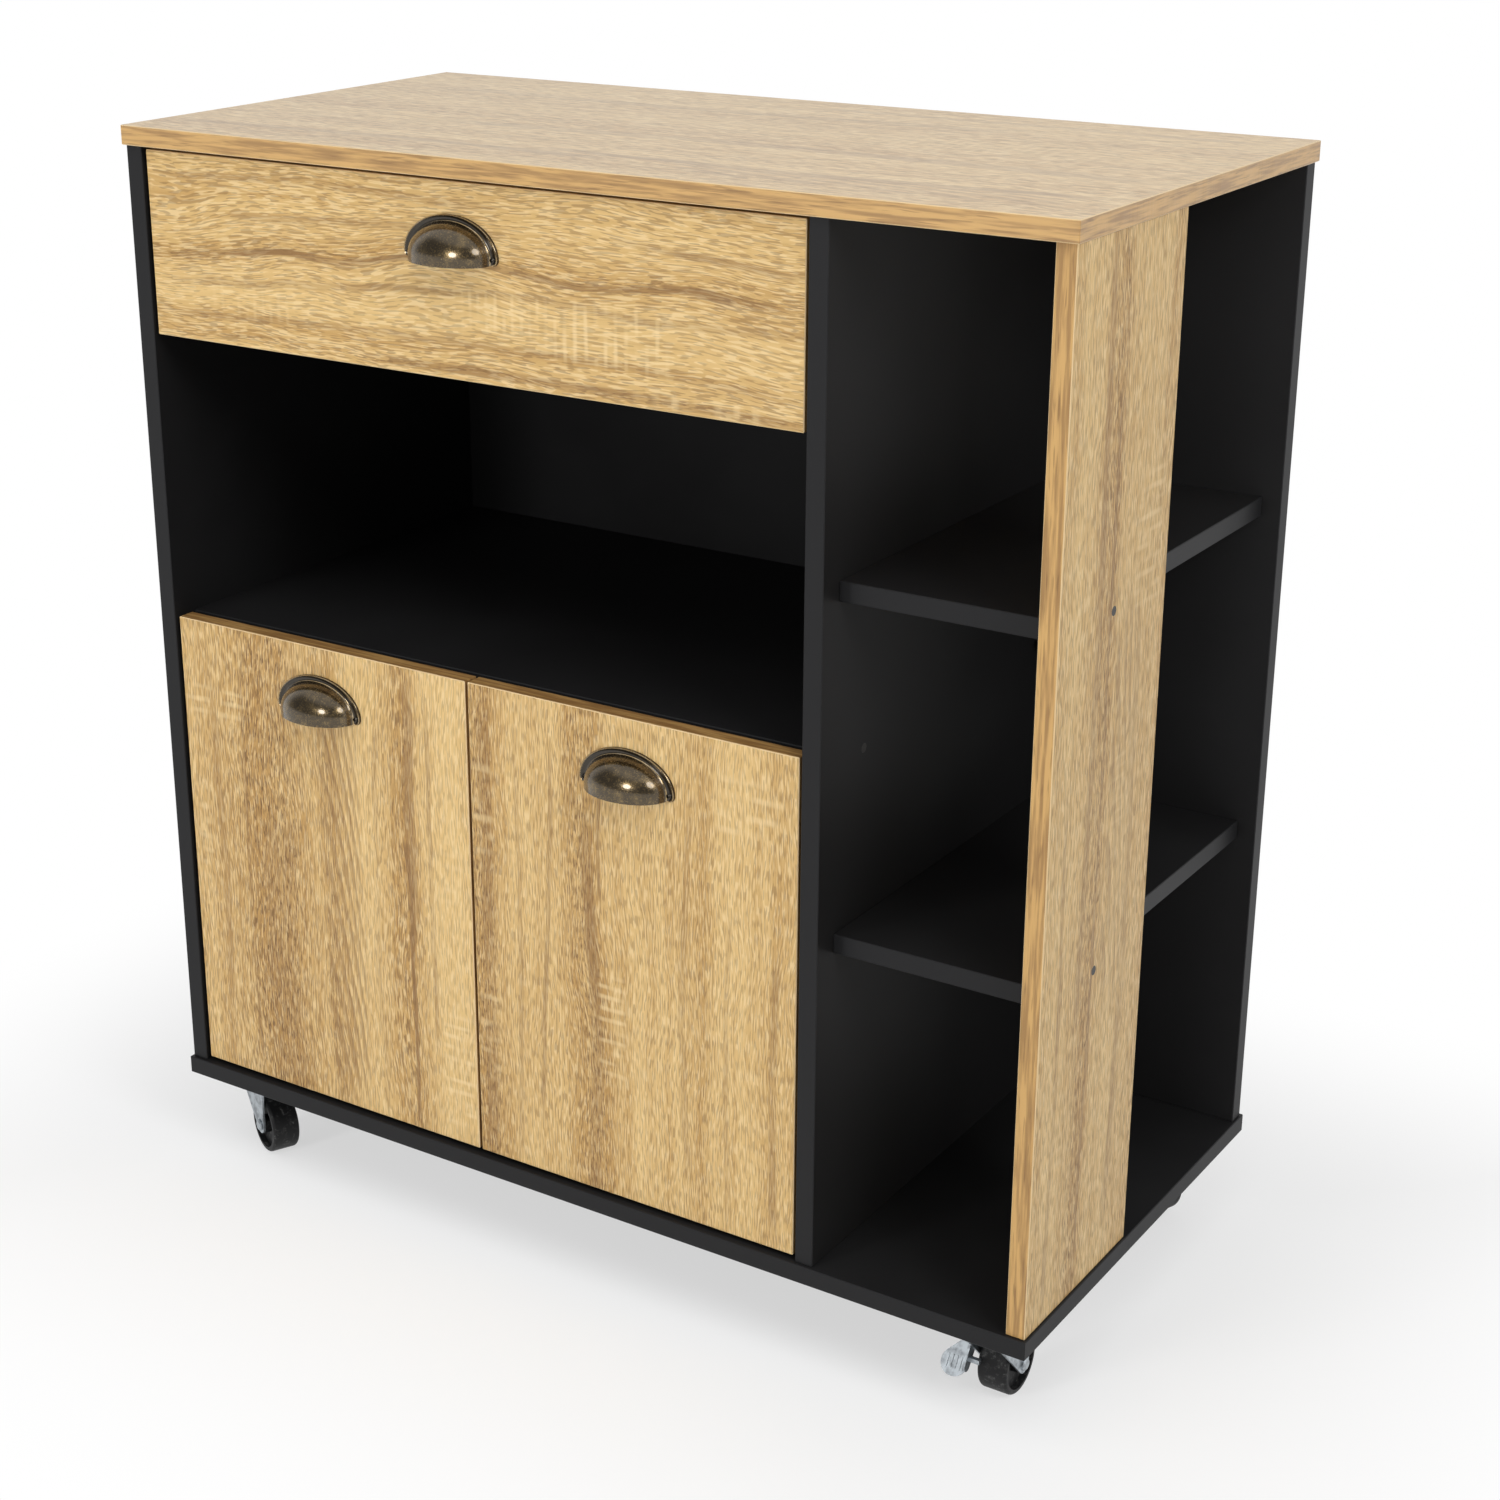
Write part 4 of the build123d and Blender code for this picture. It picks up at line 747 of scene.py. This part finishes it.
def cup_outline(half, height, depth, lip, corner):
    """One line over the pull, from the lower left end over the arch to the lower right end."""
    turns = [pi / 2 * (1 - step / EAR_POINTS) for step in range(EAR_POINTS + 1)]
    left = [Vector((-half + corner * (1 - cos(turn)), -depth, -lip * sin(turn))) for turn in turns]
    arch = [pi * (1 - step / ARC_POINTS) for step in range(1, ARC_POINTS)]
    over = [Vector((half * cos(turn), -depth, height * sin(turn))) for turn in arch]
    right = [Vector((-point.x, point.y, point.z)) for point in reversed(left)]
    return left + over + right


def cup_rings():
    """Outside lines, inside lines and finishes, from the back of the rim to the front of the cup."""
    outside, inside, finishes = [], [], []
    for ring in RIM_RINGS:
        half = CUP_HALF + RIM_WIDTH * ring.spread
        height = CUP_HEIGHT + RIM_HEIGHT * ring.spread
        corner = max(EAR - RIM_WIDTH * (1 - ring.spread), 0.0)
        outside.append(cup_outline(half, height, ring.depth * MM, ring.lip * MM, corner))
        inside.append(cup_outline(half, height, 0.0, ring.lip * MM, corner))
        finishes.append(ring.finish)
    inside[-1] = cup_outline(CUP_HALF - CUP_WALL, CUP_HEIGHT - CUP_WALL, 0.0, EAR, 0.0)
    for step in range(CUP_RINGS + 1):
        turn = CUP_START * (1 - step / CUP_RINGS)
        for lines, wall in ((outside, 0.0), (inside, CUP_WALL)):
            lines.append(cup_outline((CUP_HALF - wall) * sin(turn), (CUP_HEIGHT - wall) * sin(turn),
                                     (CUP_HEIGHT - wall) * cos(turn), EAR, 0.0))
        finishes.append(AGED)
    return outside, inside, finishes


def bridge(form, lines, finishes):
    """Skins neighbouring lines of points with quads."""
    for line, following, finish in zip(lines, lines[1:], finishes):
        for corners in zip(line, line[1:], following[1:], following):
            form.faces.new(corners).material_index = finish


def close(form, name, materials):
    """Welds and smooths a form, and makes it an object."""
    bmesh.ops.remove_doubles(form, verts=form.verts, dist=WELD)
    bmesh.ops.recalc_face_normals(form, faces=form.faces)
    for face in form.faces:
        face.smooth = True
    mesh = bpy.data.meshes.new(name)
    form.to_mesh(mesh)
    form.free()
    mesh.set_sharp_from_angle(angle=SHARP)
    for material in materials:
        mesh.materials.append(material)
    made = bpy.data.objects.new(name, mesh)
    bpy.context.scene.collection.objects.link(made)
    return made


def cup(name, origin, materials):
    """A hollow cup with a raised rim and a round ear at each end."""
    form = bmesh.new()
    outside, inside, finishes = cup_rings()
    shell = [[form.verts.new(origin + point) for point in line] for line in outside]
    hollow = [[form.verts.new(origin + point) for point in line] for line in inside]
    bridge(form, shell, finishes)
    bridge(form, hollow, [AGED] * len(hollow))
    for end in (0, -1):
        bridge(form, [[line[end] for line in shell], [line[end] for line in hollow]], [AGED])
    return close(form, name, materials)


def cross_screws(name, origin, materials):
    """Two round-headed screws with a cross recess, one in each ear of the rim."""
    form = bmesh.new()
    turns = [2 * pi * step / HEAD_POINTS for step in range(HEAD_POINTS + 1)]
    for side in (-1, 1):
        seat = origin + Vector((side * SCREW_PLACE, -SCREW_SEAT, 0.0))
        lines = []
        for step in range(HEAD_STEPS + 1):
            radius = SCREW_HEAD * step / HEAD_STEPS
            rise = SCREW_DOME * sqrt(max(1 - (radius / SCREW_HEAD) ** 2, 0.0))
            lines.append([Vector((radius * cos(turn), -rise, radius * sin(turn))) for turn in turns])
        for line in lines:
            for point in line:
                narrow, wide = sorted((abs(point.x), abs(point.z)))
                if narrow < CROSS_SLOT and wide < CROSS_REACH:
                    point.y += CROSS_DEPTH
        for radius, depth in ((SCREW_SHANK, 0.0), (SCREW_SHANK, SCREW_DEPTH), (0.0, SCREW_DEPTH)):
            lines.append([Vector((radius * cos(turn), depth, radius * sin(turn))) for turn in turns])
        bridge(form, [[form.verts.new(seat + point) for point in line] for line in lines], [AGED] * len(lines))
    return close(form, name, materials)


class CABINET_OT_pulls(bpy.types.Operator):
    """Cast the cup pulls and drive their screws"""
    bl_idname = "cabinet.pulls"
    bl_label = "Cup pulls"

    def execute(self, context):
        metal = context.scene.cabinet_metal
        aged = bronze("aged bronze", metal.patina, metal.bronze, gloss=0.26)
        recessed = bronze("recessed bronze", metal.recess, metal.patina, gloss=0.34)
        rubbed = bronze("rubbed bronze", metal.bronze, metal.rubbed, gloss=0.18)
        for pull in PULLS:
            low, high = (Vector(corner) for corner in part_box(pull.cup))
            origin = Vector(((low.x + high.x) / 2, high.y, low.z + EAR))
            for name, node, make in ((f"{pull.body}_cup_pull", pull.cup, cup),
                                     (f"{pull.body}_pull_screws", pull.screws, cross_screws)):
                piece = make(name, origin, (aged, recessed, rubbed) if make is cup else (recessed,))
                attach(piece, pull.body)
                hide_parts(node)
        return {"FINISHED"}


# Stage
Lamp = namedtuple("Lamp", "name azimuth elevation distance width height power lit mirrored")
# Lit lamps shade the surfaces, and mirrored ones show in the metal.
LAMPS = (
    Lamp("window", -16.0, 7.0, 2.4, 0.44, 0.80, 17.0, True, False),
    Lamp("key", 10.0, 65.0, 3.2, 3.4, 2.6, 33.0, True, False),
    Lamp("side", 66.0, 35.0, 3.0, 1.2, 1.2, 26.0, True, True),
    Lamp("glint", 2.0, 20.0, 2.6, 0.66, 0.66, 18.0, False, True),
)
AIM = Vector((0.0, 0.0, 0.45))
FLOOR_SIZE = 30.0
FOOTPRINT = (0.40, 0.21)
SHADOW_REACH = (0.0, 0.42)
SHADOW_SHARE = 0.42
WHITE = (1.0, 1.0, 1.0, 1.0)
WALL_SIDES, WALL_FOOT, WALL_HEAD = (0.05, 0.45), (-0.05, 0.10), (0.85, 0.60)
SENSOR = 36.0


def bearing(azimuth, elevation):
    """The direction towards a place round the cabinet: azimuth 0 is in front, 90 to the right."""
    return Vector((sin(azimuth) * cos(elevation), -cos(azimuth) * cos(elevation), sin(elevation)))


def facing(direction):
    """Turns a lamp or the camera back along a direction."""
    return (-direction).to_track_quat("-Z", "Y").to_matrix().to_4x4()


class CABINET_OT_stage(bpy.types.Operator):
    """Set up the floor, the light and the camera"""
    bl_idname = "cabinet.stage"
    bl_label = "Stage"

    def execute(self, context):
        look = context.scene.cabinet_stage
        context.scene.view_settings.view_transform = "Standard"
        self.floor(look)
        self.world(context.scene, look)
        for lamp in LAMPS:
            self.lamp(lamp)
        self.camera(context.scene, look)
        return {"FINISHED"}

    def link(self, name, data):
        made = bpy.data.objects.new(name, data)
        bpy.context.scene.collection.objects.link(made)
        return made

    def seen(self, sheet):
        """1 for rays that show the stage: straight, mirrored or through something clear."""
        rays = ("Is Camera Ray", "Is Glossy Ray", "Is Transmission Ray")
        return overlay([sheet.node("ShaderNodeLightPath", out=ray) for ray in rays])

    def floor(self, look):
        mesh = bpy.data.meshes.new("floor")
        half = FLOOR_SIZE / 2
        corners = [(-half, -half, 0), (half, -half, 0), (half, half, 0), (-half, half, 0)]
        mesh.from_pydata(corners, [], [(0, 1, 2, 3)])
        sheet = finish_sheet("studio floor")
        x, y, _ = sheet.split(sheet.point())
        away = (abs(x) - FOOTPRINT[X]).larger(abs(y) - FOOTPRINT[Y])
        plain = sheet.node("ShaderNodeBsdfDiffuse", sockets={"Color": (*look.floor, 1.0)})
        white = sheet.node("ShaderNodeEmission", sockets={"Color": WHITE, "Strength": 1.0})
        fade = away.rise(*SHADOW_REACH).at_least(1.0 - SHADOW_SHARE) * self.seen(sheet)
        shown = sheet.node("ShaderNodeMixShader", sockets={0: fade, 1: plain, 2: white})
        sheet.node("ShaderNodeOutputMaterial", sockets={"Surface": shown})
        mesh.materials.append(sheet.owner)
        self.link("floor", mesh)

    def world(self, scene, look):
        world = bpy.data.worlds.new("studio")
        sheet = Sheet(world)
        _, back, up = sheet.split(sheet.node("ShaderNodeTexCoord", out="Generated"))
        wall = (0.0 - back).rise(*WALL_SIDES) * up.rise(*WALL_FOOT) * up.rise(*WALL_HEAD)
        mirrored = sheet.node("ShaderNodeLightPath", out="Is Glossy Ray")
        dark = sheet.node("ShaderNodeBackground", sockets={"Color": WHITE, "Strength": look.front})
        soft = sheet.node("ShaderNodeBackground", sockets={"Color": WHITE, "Strength": look.ambient})
        white = sheet.node("ShaderNodeBackground", sockets={"Color": WHITE, "Strength": 1.0})
        light = sheet.node("ShaderNodeMixShader", sockets={0: self.seen(sheet), 1: soft, 2: white})
        light = sheet.node("ShaderNodeMixShader", sockets={0: wall * mirrored, 1: light, 2: dark})
        sheet.node("ShaderNodeOutputWorld", sockets={"Surface": light})
        scene.world = world

    def lamp(self, lamp):
        light = bpy.data.lights.new(lamp.name, "AREA")
        light.shape = "ELLIPSE"
        light.size = lamp.width
        light.size_y = lamp.height
        light.energy = lamp.power
        made = self.link(lamp.name, light)
        made.visible_diffuse = lamp.lit
        made.visible_glossy = lamp.mirrored
        direction = bearing(radians(lamp.azimuth), radians(lamp.elevation))
        made.matrix_world = Matrix.Translation(AIM + direction * lamp.distance) @ facing(direction)

    def camera(self, scene, look):
        view = bpy.data.cameras.new("camera")
        view.sensor_width = SENSOR
        view.lens = look.lens
        view.shift_x, view.shift_y = look.shift
        made = self.link("camera", view)
        direction = bearing(look.azimuth, look.elevation)
        turn = facing(direction) @ Matrix.Rotation(look.roll, 4, "Z")
        made.matrix_world = Matrix.Translation(Vector(look.target) + direction * look.distance) @ turn
        scene.camera = made


# Panel and registration
OPERATORS = (CABINET_OT_oak_boards, CABINET_OT_black_boards, CABINET_OT_fittings, CABINET_OT_casters,
             CABINET_OT_pulls, CABINET_OT_stage)
SETTINGS = {"cabinet_oak": OakSettings, "cabinet_black": BlackSettings, "cabinet_metal": MetalSettings,
            "cabinet_wheels": WheelSettings, "cabinet_stage": StageSettings}


class CABINET_PT_panel(bpy.types.Panel):
    """The cabinet's settings and operators"""
    bl_label = "Buffet cabinet"
    bl_idname = "CABINET_PT_panel"
    bl_space_type = "VIEW_3D"
    bl_region_type = "UI"
    bl_category = "Cabinet"

    def draw(self, context):
        for operator in OPERATORS:
            self.layout.operator(operator.bl_idname)
        for name, group in SETTINGS.items():
            box = self.layout.box()
            for prop in group.__annotations__:
                box.prop(getattr(context.scene, name), prop)


def register():
    for group in SETTINGS.values():
        bpy.utils.register_class(group)
    for name, group in SETTINGS.items():
        setattr(bpy.types.Scene, name, PointerProperty(type=group))
    for item in (*OPERATORS, CABINET_PT_panel):
        bpy.utils.register_class(item)


def unregister():
    for item in (CABINET_PT_panel, *reversed(OPERATORS)):
        bpy.utils.unregister_class(item)
    for name, group in SETTINGS.items():
        delattr(bpy.types.Scene, name)
        bpy.utils.unregister_class(group)


def main():
    register()
    bpy.ops.cabinet.oak_boards()
    bpy.ops.cabinet.black_boards()
    bpy.ops.cabinet.fittings()
    bpy.ops.cabinet.casters()
    bpy.ops.cabinet.pulls()
    bpy.ops.cabinet.stage()


if __name__ == "__main__":
    main()
